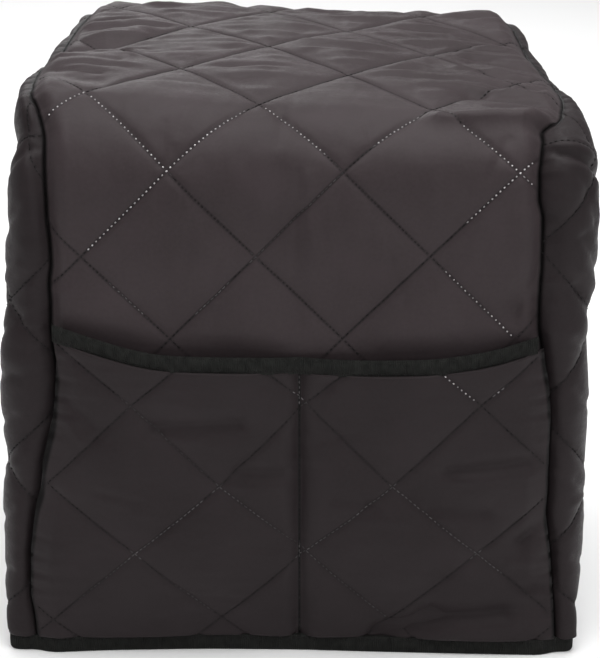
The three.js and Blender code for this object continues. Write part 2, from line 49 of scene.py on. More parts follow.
# Cloth and seams
CLOTH_THICKNESS = 3.0
PUFF_HEIGHT = 3.2
SEAM_DEPTH = 6.0
SEAM_WIDTH = 5.5
SEAM_WANDER = 0.9
SEAM_FREE_HEIGHT = 70.0
SEAM_SHARE_AT_HEM = 0.3
PUCKER_PITCH = 11.5
FINE_PUCKER_PITCH = 6.1
PUCKER_HEIGHT = 0.75
PUCKER_REACH = 9.0
SEAM_GAP = 0.15
SEAM_REACH = 1.2
SEAM_REACH_MORE = 8.0
SEAM_REACH_START = 335.0
SEAM_REACH_END = 375.0
GROOVE_DEPTH = 0.7
GROOVE_WIDTH = 1.5
HALF_DIAMOND = 50.0
STITCH_PITCH = 3.2

# Box of the cover
DEPTH = 284.0
FRONT_TOP_RADIUS = 52.0
FRONT_TOP_HEIGHT = 336.0
BACK_TOP_RADIUS = 36.0
BACK_TOP_HEIGHT = 344.0
TOP_CROWN = 5.0
HEM_HEIGHT = 9.7
TAPE_HEIGHT = 10.0
CLOTH_START = 10.0
SIDE_ROUNDING = 24.0
SIDE_BACK_TAPER = 0.05
POCKET_USUAL_HEIGHT = 190.0
POCKET_GAPE = 7.0
GAPE_POWER = 0.6
GAPE_HEIGHT = 80.0
POCKET_CLEARANCE = 0.5
SEWN_SHARE = 0.4

# What the unseen inner faces carry: a run along the cloth, and how clear they are of lines and seams
INNER_RUN = 900.0
INNER_CLEARANCE = 20.0

# How finely the profile is eased, and how large a patch of noise is before it repeats
EASE_REACH = 10.0
EASE_STEPS = 7
NOISE_CELLS = 64

# How far the tables below are rounded between their rows
SEAM_SPREAD = 4.0
MOUTH_SPREAD = 9.0
SIDE_SPREAD = 10.0
WIDE_SPREAD = 12.0

# The coarse grid that the solids share, and how finely it is cut here
STEP = HALF_DIAMOND / 4
FINE = 7
LATTICE_ALONG = 302.0
FRONT_ROWS = 26
TOP_ROWS = 22
ROWS = FRONT_ROWS + TOP_ROWS + FRONT_ROWS
FIRST_COLUMN = -12
LAST_COLUMN = 8
POCKET_ROWS = 16
POCKET_HALF_COLUMNS = 12
RING_STEPS = 14

FRONT_STRAIGHT = FRONT_TOP_HEIGHT - FRONT_TOP_RADIUS
FRONT_ARC_END = FRONT_STRAIGHT + FRONT_TOP_RADIUS * math.pi / 2
TOP_RUN = DEPTH - FRONT_TOP_RADIUS - BACK_TOP_RADIUS
TOP_RISE = BACK_TOP_HEIGHT - FRONT_TOP_HEIGHT
TOP_END = FRONT_ARC_END + math.hypot(TOP_RUN, TOP_RISE)
BACK_ARC_END = TOP_END + BACK_TOP_RADIUS * math.pi / 2
CLOTH_END = BACK_ARC_END + BACK_TOP_HEIGHT - BACK_TOP_RADIUS - CLOTH_START

# Side seams: how far they lie from the middle, by the length along the long panel
SEAMS = {
    "along": (10, 34, 52, 87, 126, 151, 175, 208, 244, 303, 318, 338,
              352, 385, 417, 455, 500, 560, 605, 760, 918),
    "left": (-158.6, -162.5, -162.3, -157.2, -149.9, -144.5, -140.9, -144.3, -143.5, -145.3, -145.5, -149.7,
             -154.6, -157, -156, -150, -145.5, -138.5, -136, -142, -148),
    "right": (154.4, 153.4, 151.1, 146, 147.3, 146.9, 143.6, 138.8, 139.7, 135.8, 137, 139,
              151.5, 156, 155, 151, 145, 139.5, 138.5, 143, 147),
}

# The side panels' widest line near the front corner, by height
SIDES = {
    "height": (10, 34, 66, 107, 126, 175, 222, 244, 274, 303, 327, 345),
    "left": (-177, -178.7, -177.5, -179.5, -178.5, -175.5, -170, -168, -166.4, -167.5, -165.5, -162),
    "right": (166, 167.6, 170.4, 172.6, 170.5, 169, 167.8, 169.5, 171.3, 170.5, 168, 163),
}

# How wide the side panels are just under the top, by depth, and from what height that counts
TOP_WIDTHS = {
    "depth": (40, 70, 100, 190, 284),
    "left": (-163, -163.5, -162.5, -151.5, -144),
    "right": (170, 167, 162.5, 151.5, 145.5),
}
UNDER_TOP_START = 240.0
UNDER_TOP_END = 325.0
UNDER_TOP_FRONT_START = 10.0
UNDER_TOP_FRONT_END = 80.0

# How far the cloth stands over its smooth form at the left, in the middle and at the right
SAG_HALF_WIDTH = 140.0
SAGS = {
    "along": (230, 300, 345, 400, 450, 500, 560, 620, 700),
    "left": (0, 2, 8, 4, -3, 1, 5, 1, 0),
    "middle": (0, 0, -4, -1, -1, -1, 1.5, 0, 0),
    "right": (0, -3, -7, -8, -13, -12, -2, -2, 0),
}

# Where a line of stitch crossings lies along the long panel: the diamonds drift over the top
LATTICE = {
    "along": (302, 352, 402, 452),
    "x": (24.6, 26.4, 29, 30.5),
}

# How square the corners are at the hem, beside the rounder ones above
HEM_CORNER_SHARE = 0.15
HEM_CORNER_HEIGHT = 70.0

# How far the foot of the front lies back, from side to side, and how high up that fades out
BOW = {
    "x": (-158, -120, -60, 0, 40, 90, 150),
    "back": (-1, 2.5, 4.5, 3.5, 1, -1.5, -4),
}
BOW_HEIGHT = 60.0

# The pocket mouth: the top of its tape
MOUTH = {
    "x": (-165, -142.7, -120.4, -96.3, -79.5, -1.2, 33.1, 77.9, 110.9, 139, 160),
    "height": (217, 212, 205, 198, 195, 192, 191.5, 192.5, 197, 205, 210.5),
}
DIVIDER_X = -0.4

# The pocket's own diamonds
POCKET_LATTICE_X = 3.5
POCKET_HALF_WIDTH = 51.0
POCKET_CROSSINGS = {
    "height": (-20, 22, 69, 112.5, 164, 208),
    "row": (-4, -3, -2, -1, 0, 1),
}
SIDE_LATTICE = {"right": (28.0, 306.0), "left": (14.0, 222.0)}

# Folds as ridges and troughs: from x and along, to x and along, width, rise
PANEL_FOLDS = (
    (80, 342, 156, 343, 9, 4),
    (101, 378, 150, 360, 9, -4),
    (-153, 385, -118, 370, 9, -3),
    (-144, 447, -77, 480, 10, -2.5),
    (-150, 415, -105, 420, 9, 2),
    (110, 450, 142, 440, 10, -3),
    (122, 219, 136, 241, 9, -3.5),
    (-60, 262, -66, 290, 10, 1.8),
    (-3, 215, -8, 300, 9, -1.6),
    (20, 560, 110, 590, 12, -2),
    (-90, 700, 60, 715, 14, -2.2),
    (40, 800, 130, 780, 14, 2),
)
POCKET_FOLDS = (
    (51, 13, 79, 27, 8, -3),
    (79, 27, 146, 31, 8, -3),
    (131, 74, 146, 87, 8, -3.5),
    (130, 51, 150, 47, 8, -2.5),
    (92, 126, 140, 126, 9, -2),
    (66, 108, 112, 97, 9, -2),
    (-79, 152, -38, 152, 9, -1.8),
    (-32, 120, -4, 120, 9, -1.8),
    (-140, 172, -120, 150, 9, -2),
)
SIDE_FOLDS = {
    "right": (
        (6, 330, 34, 326, 11, -4),
        (30, 250, 10, 205, 9, 2.5),
        (90, 200, 190, 235, 16, -2.5),
        (60, 110, 170, 90, 16, 2.5),
        (190, 300, 235, 250, 12, -3),
    ),
    "left": (
        (10, 325, 60, 290, 10, -3),
        (22, 250, 12, 190, 9, 2.5),
        (20, 120, 60, 90, 12, -3),
        (90, 210, 180, 180, 16, -2.5),
        (180, 310, 235, 260, 12, -3),
        (110, 60, 200, 80, 16, 2.5),
    ),
}

# Small creases that only show close to, in the same columns
PANEL_CREASES = (
    (-79, 306, -77, 330, 2.6, -0.8),
    (-70, 318, -66, 338, 2.4, 0.7),
    (-66, 246, -62, 272, 3.0, -0.9),
    (-12, 318, -10, 346, 2.6, -0.8),
    (-3, 240, -1, 300, 3.0, -1.0),
    (6, 262, 4, 300, 2.6, 0.7),
    (40, 320, 36, 344, 2.6, -0.7),
    (-50, 225, -42, 250, 2.6, 0.8),
    (60, 225, 52, 250, 3.0, -0.8),
    (108, 300, 118, 324, 2.6, -0.8),
    (-149, 392, -118, 384, 2.6, -1.3),
    (-150, 400, -122, 400, 2.8, 1.2),
    (-148, 408, -108, 407, 2.6, -1.2),
    (-148, 428, -112, 431, 3.0, -1.3),
    (-146, 438, -96, 444, 2.8, 1.2),
    (-144, 452, -104, 462, 2.8, -1.3),
    (-142, 470, -98, 478, 3.0, 1.1),
    (-140, 492, -84, 500, 3.0, -1.3),
    (-138, 512, -96, 518, 3.0, -1.1),
    (142, 366, 112, 372, 2.6, -1.4),
    (146, 378, 100, 388, 2.6, 1.2),
    (143, 392, 92, 400, 3.0, -1.4),
    (142, 408, 108, 416, 2.6, -1.2),
    (140, 422, 96, 424, 3.0, 1.2),
    (139, 438, 104, 440, 2.8, -1.3),
    (138, 456, 98, 466, 2.8, -1.2),
    (137, 474, 108, 480, 2.8, 1.0),
    (135, 496, 102, 506, 3.0, -1.2),
    (80, 340, 154, 340, 3.0, 2.0),
    (112, 351, 150, 353, 3.0, -2.2),
    (124, 218, 135, 238, 3.2, -1.5),
    (128, 226, 133, 250, 3.0, 1.0),
    (-140, 232, -128, 244, 3.0, -1.0),
)
POCKET_CREASES = (
    (-84, 150, -36, 153, 4.0, -1.7),
    (-90, 144, -60, 142, 2.6, 0.7),
    (-34, 121, -3, 119, 4.0, -1.7),
    (-46, 112, -10, 113, 2.6, 0.6),
    (88, 123, 134, 127, 4.0, -2.2),
    (96, 118, 140, 119, 2.8, 0.8),
    (77, 98, 110, 96, 4.0, -2.0),
    (20, 104, 44, 100, 4.0, -1.5),
    (30, 92, 64, 90, 2.6, 0.6),
    (-120, 110, -96, 104, 2.8, -0.8),
    (-98, 96, -70, 92, 2.6, 0.6),
    (-40, 74, -8, 70, 2.8, -0.7),
    (8, 140, 34, 146, 2.6, -0.6),
    (47, 15, 75, 23, 4.0, -2.2),
    (75, 23, 123, 28, 4.0, -2.4),
    (84, 14, 130, 20, 3.0, 1.0),
    (132, 76, 142, 85, 3.6, -2.2),
    (138, 44, 149, 44, 3.6, -2.2),
    (126, 62, 147, 64, 2.8, 1.0),
    (-144, 172, -122, 152, 2.8, -1.2),
    (-142, 158, -126, 140, 2.8, 0.8),
    (-20, 176, -4, 160, 2.4, -0.7),
    (18, 176, 8, 158, 2.4, -0.7),
    (60, 60, 96, 54, 2.6, -0.6),
    (-70, 40, -34, 36, 2.6, -0.6),
)
SIDE_CREASES = {
    "right": (
        (2, 316, 44, 276, 3.2, -3.2),
        (2, 326, 50, 288, 6.0, 1.8),
        (4, 300, 16, 268, 2.8, -1.6),
        (10, 284, 28, 262, 2.8, 1.0),
        (5, 262, 24, 236, 2.8, -1.7),
        (6, 244, 26, 222, 3.0, 1.2),
        (4, 232, 20, 206, 2.8, -1.5),
        (3, 200, 18, 190, 2.6, -1.2),
        (4, 168, 22, 152, 2.8, -1.2),
        (4, 110, 26, 92, 3.0, -1.6),
        (4, 96, 22, 100, 2.8, 1.0),
        (5, 60, 24, 48, 2.8, -1.1),
    ),
    "left": (
        (5, 318, 24, 292, 3.0, -1.6),
        (12, 322, 40, 300, 3.0, 1.2),
        (4, 280, 20, 262, 2.8, -1.0),
        (5, 246, 26, 226, 3.0, 1.0),
        (4, 214, 22, 196, 2.8, -1.2),
        (3, 178, 20, 172, 2.8, -1.3),
        (4, 152, 24, 140, 3.0, -1.2),
        (4, 122, 26, 110, 3.0, 1.0),
        (4, 92, 22, 78, 2.8, -1.0),
        (5, 52, 26, 44, 3.0, -1.0),
    ),
}

# Wrinkles in layers: seed, size across, size along, height
PANEL_WRINKLES = ((11, 34, 41, 0.7), (12, 13, 17, 0.35))
POCKET_WRINKLES = ((31, 38, 30, 0.7), (32, 20, 11, 0.4))
SIDE_WRINKLES = ((0, 36, 44, 0.8), (1, 14, 18, 0.4))
TOP_RIPPLE = 2.1
TOP_RIPPLE_START = 340.0
TOP_RIPPLE_FULL = 400.0
PULL_HEIGHT = 0.28

# Runs of stitches whose needle holes are pulled open, so that they show light
OPEN_RUN_WIDTH = 4.0
PANEL_OPEN_RUNS = (
    (-147, 329, -127, 349, 0.9),
    (-120, 345, -78, 302, 1.0),
    (-77, 303, -34, 340, 0.9),
    (-78, 301, -120, 260, 1.0),
    (-18, 346, 10, 314, 0.8),
    (72, 342, 46, 322, 0.7),
    (96, 332, 124, 304, 0.9),
    (123, 302, 98, 276, 0.9),
    (86, 240, 104, 221, 0.8),
    (109, 214, 122, 200, 0.9),
    (107, 199, 124, 216, 0.9),
    (-108, 232, -93, 218, 0.25),
    (-60, 220, -44, 236, 0.15),
    (-27, 252, 20, 302, 0.08),
    (127, 304, 140, 318, 0.8),
    (127, 302, 136, 293, 0.5),
)
POCKET_OPEN_RUNS = (
    (81, 186, 99, 170, 0.9),
    (123, 194, 113, 174, 0.4),
    (-0.4, 166, -0.4, 178, 0.2),
    (-104, 166, -60, 120, 0.05),
    (-49, 110, 0, 66, 0.14),
    (-100, 66, -60, 100, 0.16),
    (54, 110, 2, 66, 0.12),
    (56, 110, 106, 66, 0.14),
    (-150, 30, -104, 64, 0.08),
    (-84, 50, -56, 26, 0.1),
    (2, 66, 50, 24, 0.08),
    (106, 69, 120, 58, 0.14),
)


def smooth(low, high, value):
    share = np.clip((value - low) / (high - low), 0, 1)
    return share * share * (3 - 2 * share)


def read_table(table, key, column, value, spread=0.0):
    """One column of a table, straight between its rows, or rounded over a spread."""
    if spread == 0:
        return np.interp(value, table[key], table[column])
    shifts = np.linspace(-spread, spread, 5)
    return sum(np.interp(value + shift, table[key], table[column]) for shift in shifts) / len(shifts)


def sharp_profile(along):
    """Depth and height of the long panel's outer face, by the length along it."""
    front_turn = np.clip((along - FRONT_STRAIGHT) / FRONT_TOP_RADIUS, 0, math.pi / 2)
    share = np.clip((along - FRONT_ARC_END) / (TOP_END - FRONT_ARC_END), 0, 1)
    back_turn = np.clip((along - TOP_END) / BACK_TOP_RADIUS, 0, math.pi / 2)
    depth = (
        FRONT_TOP_RADIUS * (1 - np.cos(front_turn)) + TOP_RUN * share + BACK_TOP_RADIUS * np.sin(back_turn)
    )
    height = (
        np.minimum(along, FRONT_STRAIGHT)
        + FRONT_TOP_RADIUS * np.sin(front_turn)
        + TOP_RISE * share
        + TOP_CROWN * np.sin(math.pi * share)
        - BACK_TOP_RADIUS * (1 - np.cos(back_turn))
        - np.maximum(along - BACK_ARC_END, 0)
    )
    return depth, height


def profile(along):
    """The same, with its joins eased, and the way out of the cloth there."""
    shifts = np.linspace(-EASE_REACH, EASE_REACH, EASE_STEPS)
    eased = [sharp_profile(along + shift) for shift in shifts]
    depth = sum(place[0] for place in eased) / len(shifts)
    height = sum(place[1] for place in eased) / len(shifts)
    before = [sharp_profile(along + shift - 1) for shift in shifts]
    after = [sharp_profile(along + shift + 1) for shift in shifts]
    run = sum(b[0] - a[0] for a, b in zip(before, after))
    rise = sum(b[1] - a[1] for a, b in zip(before, after))
    length = np.hypot(run, rise)
    return depth, height, -rise / length, run / length


def noise(seed, across, up):
    """Smooth noise from -1 to 1, with one grid step to a unit."""
    cells = np.random.default_rng(seed).uniform(-1, 1, (NOISE_CELLS, NOISE_CELLS))
    column = np.floor(across).astype(int)
    row = np.floor(up).astype(int)
    right = smooth(0, 1, across - column)
    above = smooth(0, 1, up - row)

    def cell(down, along):
        return cells[(row + down) % NOISE_CELLS, (column + along) % NOISE_CELLS]

    low = cell(0, 0) * (1 - right) + cell(0, 1) * right
    high = cell(1, 0) * (1 - right) + cell(1, 1) * right
    return low * (1 - above) + high * above


def puff(across, up):
    """Wadding between stitch lines: 0 on a line, 1 in the middle of a diamond."""
    rising = np.abs(np.sin(math.pi * (up - across) / 2))
    falling = np.abs(np.sin(math.pi * (up + across) / 2))
    return np.sqrt(rising * falling)


def line_distance(across, up):
    """How far the nearest stitch line is, in millimetres."""
    rising = np.abs((up - across) / 2 - np.round((up - across) / 2))
    falling = np.abs((up + across) / 2 - np.round((up + across) / 2))
    return np.minimum(rising, falling) * HALF_DIAMOND * math.sqrt(2)


def quilting(across, up):
    """How far the nearest stitch line is, and how high the diamonds puff up from its groove."""
    line = line_distance(across, up)
    return line, PUFF_HEIGHT * puff(across, up) - GROOVE_DEPTH * np.exp(-((line / GROOVE_WIDTH) ** 2))


def wrinkles(layers, x, up, first_seed=0):
    """Layers of noise, each with its own size across and along, and its height."""
    return sum(rise * noise(first_seed + seed, x / wide, up / long) for seed, wide, long, rise in layers)


def fold_height(folds, x, up):
    """Soft ridges and troughs, each along a straight line."""
    height = np.zeros(np.broadcast(x, up).shape)
    for from_x, from_up, to_x, to_up, width, rise in folds:
        run_x = to_x - from_x
        run_up = to_up - from_up
        share = ((x - from_x) * run_x + (up - from_up) * run_up) / (run_x**2 + run_up**2)
        share = np.clip(share, 0, 1)
        miss = (x - from_x - share * run_x) ** 2 + (up - from_up - share * run_up) ** 2
        height += rise * np.exp(-miss / width**2)
    return height


def open_share(runs, x, up):
    """How far the needle holes are pulled open at a place, from 0 to 1."""
    share = np.zeros(np.shape(x))
    for from_x, from_up, to_x, to_up, strength in runs:
        near = fold_height(((from_x, from_up, to_x, to_up, OPEN_RUN_WIDTH, 1.0),), x, up)
        share = np.maximum(share, strength * smooth(0.1, 0.6, near))
    return share


def seam_at(side, along):
    """How far a seam lies from the middle, with the small wander of hand-fed cloth."""
    along = np.asarray(along, dtype=float)
    wander = noise(31 if side == "left" else 32, along / 13, along * 0)
    return read_table(SEAMS, "along", side, along, SEAM_SPREAD) + SEAM_WANDER * wander


def mouth_at(x):
    return read_table(MOUTH, "x", "height", x, MOUTH_SPREAD)


def seam_distance(x, along):
    return np.minimum(x - seam_at("left", along), seam_at("right", along) - x)


def share_above_hem(share, height, along):
    """A share that holds at the hem and grows to 1 at a height above it."""
    above = np.minimum(along, CLOTH_END + CLOTH_START - along)
    return share + (1 - share) * smooth(CLOTH_START, height, above)


def draw_in(x, along):
    """The cloth is drawn in beside a seam, less so where the hem holds it."""
    depth = SEAM_DEPTH * share_above_hem(SEAM_SHARE_AT_HEM, SEAM_FREE_HEIGHT, along)
    return depth * np.exp(-((seam_distance(x, along) / SEAM_WIDTH) ** 2))


def seam_puckers(distance, along, seed):
    """Short gathers that run out of a seam, uneven in size and spacing."""
    turn = 2 * math.pi * (along + 3.5 * noise(seed, along / 19, along * 0))
    wave = np.sin(turn / PUCKER_PITCH) + 0.6 * np.sin(turn / FINE_PUCKER_PITCH)
    size = 0.45 + 0.55 * noise(seed + 1, along / 23, along * 0)
    return PUCKER_HEIGHT * size * wave * np.exp(-distance / PUCKER_REACH)


def lattice_x(along):
    return read_table(LATTICE, "along", "x", along)


def panel_places(x, along):
    """A place in half diamonds, from one of the long panel's stitch crossings."""
    across = (x - lattice_x(along)) / HALF_DIAMOND
    return across, (along - LATTICE_ALONG) / HALF_DIAMOND


def sag_at(x, along):
    """The cloth's rise or sag at a place, on a curve through its left, middle and right."""
    left, middle, right = (
        read_table(SAGS, "along", name, along, WIDE_SPREAD) for name in ("left", "middle", "right")
    )
    share = x / SAG_HALF_WIDTH
    return middle + (right - left) / 2 * share + ((right + left) / 2 - middle) * share**2


def panel_height(x, along):
    """How far the long panel's face stands out of its smooth form."""
    distance = seam_distance(x, along)
    inside = np.clip(distance / STEP, 0, 1)
    clear = smooth(mouth_at(x) + 1, mouth_at(x) + 16, along)
    line, relief = quilting(*panel_places(x, along))
    relief = relief + fold_height(PANEL_FOLDS, x, along) + fold_height(PANEL_CREASES, x, along)
    relief = relief + wrinkles(PANEL_WRINKLES, x, along)
    relief = relief + 0.22 * noise(13, x / 4.5, along / 11) * smooth(0, 8, line)
    on_top = smooth(TOP_RIPPLE_START, TOP_RIPPLE_FULL, along) * (1 - smooth(TOP_END, BACK_ARC_END, along))
    ripples = noise(14, x / 42 + 0.5 * noise(15, x / 60, along / 60), along / 7.5)
    ripples = ripples + 0.5 * noise(18, x / 25 + 0.6 * noise(19, x / 40, along / 40), along / 4.6)
    uneven = 0.85 + 0.25 * noise(16, x / 50, along / 50)
    relief = relief + TOP_RIPPLE * ripples * on_top * smooth(2, 12, line) * uneven
    pulls = noise(17, x / 7.5, along / 46) * (1 - on_top)
    relief = relief + PULL_HEIGHT * pulls * smooth(2, 12, line)
    gathers = seam_puckers(distance, along, 21)
    return relief * clear * inside + gathers * clear - draw_in(x, along)


def panel_point(x, along, out):
    """A point of the long panel, a distance out of its smooth outer face."""
    depth, height, out_depth, out_height = profile(along)
    bow = read_table(BOW, "x", "back", x, WIDE_SPREAD) * (1 - smooth(CLOTH_START, BOW_HEIGHT, along))
    place = FRONT_FACE_Y + depth + bow + out_depth * out
    rise = height + (sag_at(x, along) + out) * out_height
    return np.stack(np.broadcast_arrays(x + SHIFT_X, place, rise), axis=-1)


def refine(values, fine):
    """Cuts each step of a list of places into equal fine steps."""
    places = np.arange((len(values) - 1) * fine + 1) / fine
    return np.interp(places, np.arange(len(values)), values)


def along_rows(fine):
    rows = [CLOTH_START]
    rows += [LATTICE_ALONG + STEP * (row - FRONT_ROWS + 2) for row in range(1, ROWS)]
    rows.append(CLOTH_END)
    return refine(np.array(rows), fine)


def panel_grid(fine):
    """The long panel's places: x and along, a row for each step along it."""
    rows = along_rows(fine)
    steps = STEP * np.arange(FIRST_COLUMN, LAST_COLUMN + 1)
    x = np.empty((len(rows), (len(steps) + 3) * fine + 1))
    left = seam_at("left", rows)
    right = seam_at("right", rows)
    lattice = lattice_x(rows)
    for index in range(len(rows)):
        inner = lattice[index] + steps
        first = (left[index] + inner[0]) / 2
        last = (inner[-1] + right[index]) / 2
        columns = [left[index], first, *inner, last, right[index]]
        x[index] = refine(np.array(columns), fine)
    return x, np.repeat(rows[:, None], x.shape[1], axis=1)


def grid_quads(index):
    """The quads of a grid of point numbers, as rows and columns."""
    return np.stack([index[:-1, :-1], index[:-1, 1:], index[1:, 1:], index[1:, :-1]], axis=-1).reshape(-1, 4)


def facing(points, quads):
    """Which way quads face, square to their diagonals."""
    first, second, third, fourth = (points[quads[..., corner]] for corner in range(4))
    return np.cross(third - first, fourth - second)


def unit(vectors):
    return vectors / np.linalg.norm(vectors, axis=-1, keepdims=True)


def grid_face(points):
    """One face of a grid: points, faces and the loop of its rim."""
    rows, columns = points.shape[:2]
    index = np.arange(rows * columns).reshape(rows, columns)
    rim = np.concatenate([index[0, :-1], index[:-1, -1], index[-1, :0:-1], index[:0:-1, 0]])
    return {"points": points.reshape(-1, 3), "quads": grid_quads(index), "rim": rim}


def close_shell(outer, inner, ratio):
    """Joins a fine outer face to an inner one with a ratio fewer steps round its rim."""
    base = len(outer["points"])
    faces = [list(quad) for quad in outer["quads"]]
    faces += [[base + corner for corner in reversed(quad)] for quad in inner["quads"].tolist()]
    steps = len(inner["rim"])
    half = ratio // 2
    for step in range(steps):
        near = base + inner["rim"][step]
        far = base + inner["rim"][(step + 1) % steps]
        run = [outer["rim"][(ratio * step + ahead) % len(outer["rim"])] for ahead in range(ratio + 1)]
        for ahead in range(ratio):
            faces.append([run[ahead + 1], run[ahead], near if ahead < half else far])
        faces.append([run[half], near, far])
    return np.vstack([outer["points"], inner["points"]]), faces


def add_object(name, data):
    made = bpy.data.objects.new(name, data)
    bpy.context.scene.collection.objects.link(made)
    return made


def make_mesh(name, points, faces, attributes=None):
    mesh = bpy.data.meshes.new(name)
    mesh.from_pydata((np.asarray(points) * MM).tolist(), [], [[int(c) for c in face] for face in faces])
    mesh.validate()
    mesh.polygons.foreach_set("use_smooth", [True] * len(mesh.polygons))
    for key, values in (attributes or {}).items():
        kind = "FLOAT_VECTOR" if np.ndim(values) == 2 else "FLOAT"
        layer = mesh.attributes.new(key, kind, "POINT")
        field = "vector" if kind == "FLOAT_VECTOR" else "value"
        layer.data.foreach_set(field, np.asarray(values, dtype=np.float32).ravel())
    mesh.update()
    return add_object(name, mesh)


def cloth_attributes(across, up, line, to_seam):
    places = np.stack([across.ravel() * MM, up.ravel() * MM, line.ravel() * MM], axis=-1)
    return {"cloth": places, "to_seam": to_seam.ravel() * MM}


def finish_panel(name, outer, inner, cloth, line, to_seam):
    """Makes a panel's closed mesh, and keeps what its stitches are placed by."""
    points, faces = close_shell(outer, inner, FINE)
    spare = len(points) - len(outer["points"])
    seen = (cloth[..., 0], cloth[..., 1], line, to_seam)
    clear = np.full(spare, INNER_CLEARANCE)
    hidden = (np.zeros(spare), np.linspace(0, INNER_RUN, spare), clear, clear)
    values = [np.concatenate([near.ravel(), far]) for near, far in zip(seen, hidden)]
    piece = make_mesh(name, points, faces, cloth_attributes(*values))
    flat = np.concatenate([cloth.reshape(-1, 2), np.zeros((cloth.size // 2, 1))], axis=1)
    return piece, {"points": outer["points"], "quads": outer["quads"], "flat": flat}


def long_panel():
    x, along = panel_grid(FINE)
    outer = grid_face(panel_point(x, along, panel_height(x, along)))
    rough_x, rough_along = panel_grid(1)
    inner_out = -CLOTH_THICKNESS - draw_in(rough_x, rough_along)
    inner = grid_face(panel_point(rough_x, rough_along, inner_out))
    line = line_distance(*panel_places(x, along))
    cloth = np.stack([x, along], axis=-1)
    return finish_panel("quilted_long_panel", outer, inner, cloth, line, seam_distance(x, along))


def side_face(side, fine, ring_steps):
    """A side panel's smooth form: rings beside its seam and a grid that fills them."""
    sign = 1 if side == "right" else -1
    along = along_rows(fine)
    seam_x = seam_at(side, along)
    _, _, out_depth, out_height = profile(along)
    last = len(along) - 1
    rows = FRONT_ROWS * fine
    columns = TOP_ROWS * fine

    seam_reach = SEAM_REACH + SEAM_REACH_MORE * smooth(SEAM_REACH_START, SEAM_REACH_END, along)
    square = share_above_hem(HEM_CORNER_SHARE, HEM_CORNER_HEIGHT, along)

    def widest(depth, height):
        wall = read_table(SIDES, "height", side, height, SIDE_SPREAD) * (1 - SIDE_BACK_TAPER * depth / DEPTH)
        share = smooth(UNDER_TOP_START, UNDER_TOP_END, height)
        share = share * smooth(UNDER_TOP_FRONT_START, UNDER_TOP_FRONT_END, depth)
        return wall + (read_table(TOP_WIDTHS, "depth", side, depth, SIDE_SPREAD) - wall) * share

    places = []
    for turn in np.linspace(0, math.pi / 2, ring_steps + 1):
        inward = SIDE_ROUNDING * (1 - math.cos(turn))
        sink = draw_in(seam_x, along) * np.exp(-inward / seam_reach) + inward * square
        edge = panel_point(seam_x, along, -sink)
        depth = edge[:, 1] - FRONT_FACE_Y
        x = seam_x + (widest(depth, edge[:, 2]) - seam_x) * math.sin(turn)
        if turn == 0:
            x = x + sign * SEAM_GAP
        places.append(np.stack([x, depth, edge[:, 2]], axis=-1))
    rings = np.array(places)
    inmost = rings[-1][:, 1:]
    front = inmost[: rows + 1]
    top = inmost[rows : rows + columns + 1]
    back = inmost[::-1][: rows + 1]
    run = np.linspace(0, 1, columns + 1)[None, :, None]
    rise = np.linspace(0, 1, rows + 1)[:, None, None]
    bottom = inmost[0] * (1 - run[0]) + inmost[-1] * run[0]
    sides = front[:, None] * (1 - run) + back[:, None] * run
    ends = bottom[None] * (1 - rise) + top[None] * rise
    corners = (inmost[0] * (1 - run) + inmost[-1] * run) * (1 - rise)
    corners = corners + (top[0] * (1 - run) + top[-1] * run) * rise
    fill = sides + ends - corners
    fill_x = widest(fill[..., 0], fill[..., 1])
    filled = np.concatenate([fill_x[..., None], fill], axis=-1)

    ring_index = np.arange((ring_steps + 1) * (last + 1)).reshape(ring_steps + 1, last + 1)
    grid = np.empty((rows + 1, columns + 1), dtype=int)
    grid[:, 0] = ring_index[-1, : rows + 1]
    grid[rows] = ring_index[-1, rows : rows + columns + 1]
    grid[:, -1] = ring_index[-1, ::-1][: rows + 1]
    fresh = ring_index.size + np.arange(rows * (columns - 1)).reshape(rows, columns - 1)
    grid[:rows, 1:-1] = fresh
    places = np.concatenate([rings.reshape(-1, 3), filled[:rows, 1:-1].reshape(-1, 3)])

    ring_quads = np.stack(
        [ring_index[:-1, :-1], ring_index[1:, :-1], ring_index[1:, 1:], ring_index[:-1, 1:]], axis=-1
    )
    quads = np.concatenate([ring_quads.reshape(-1, 4), grid_quads(grid)])
    rim = np.concatenate(
        [ring_index[:, 0], grid[0, 1:-1], ring_index[:0:-1, last], ring_index[0, :0:-1]]
    )
    points = places + np.array([SHIFT_X, FRONT_FACE_Y, 0])

    outs = np.zeros_like(points)
    for corner in range(4):
        np.add.at(outs, quads[:, corner], facing(points, quads) * sign)
    edge_out = np.stack([np.zeros(last + 1), out_depth, out_height], axis=-1)
    outs[ring_index[0]] = edge_out
    outs[points[:, 2] < CLOTH_START + 0.5, 2] = 0

    # The cloth's own places: the rings are rolled out flat past the inmost one
    cloth = places[:, 1:].copy()
    steps = np.linalg.norm(np.diff(rings, axis=0), axis=-1)
    rolled = np.concatenate([np.cumsum(steps[::-1], axis=0)[::-1], np.zeros((1, last + 1))])
    unrolled = inmost[None] + rolled[..., None] * np.stack([out_depth, out_height], axis=-1)[None]
    cloth[: ring_index.size] = unrolled.reshape(-1, 2)
    to_seam = np.full(len(points), 60.0)
    to_seam[: ring_index.size] = (rolled[0][None] - rolled).ravel()
    along_seam = np.zeros(len(points))
    along_seam[: ring_index.size] = np.tile(along, ring_steps + 1)
    return {
        "points": points,
        "outs": unit(outs),
        "quads": quads if sign > 0 else quads[:, ::-1],
        "rim": rim if sign > 0 else rim[::-1],
        "cloth": cloth,
        "places": places,
        "to_seam": to_seam,
        "along_seam": along_seam,
    }


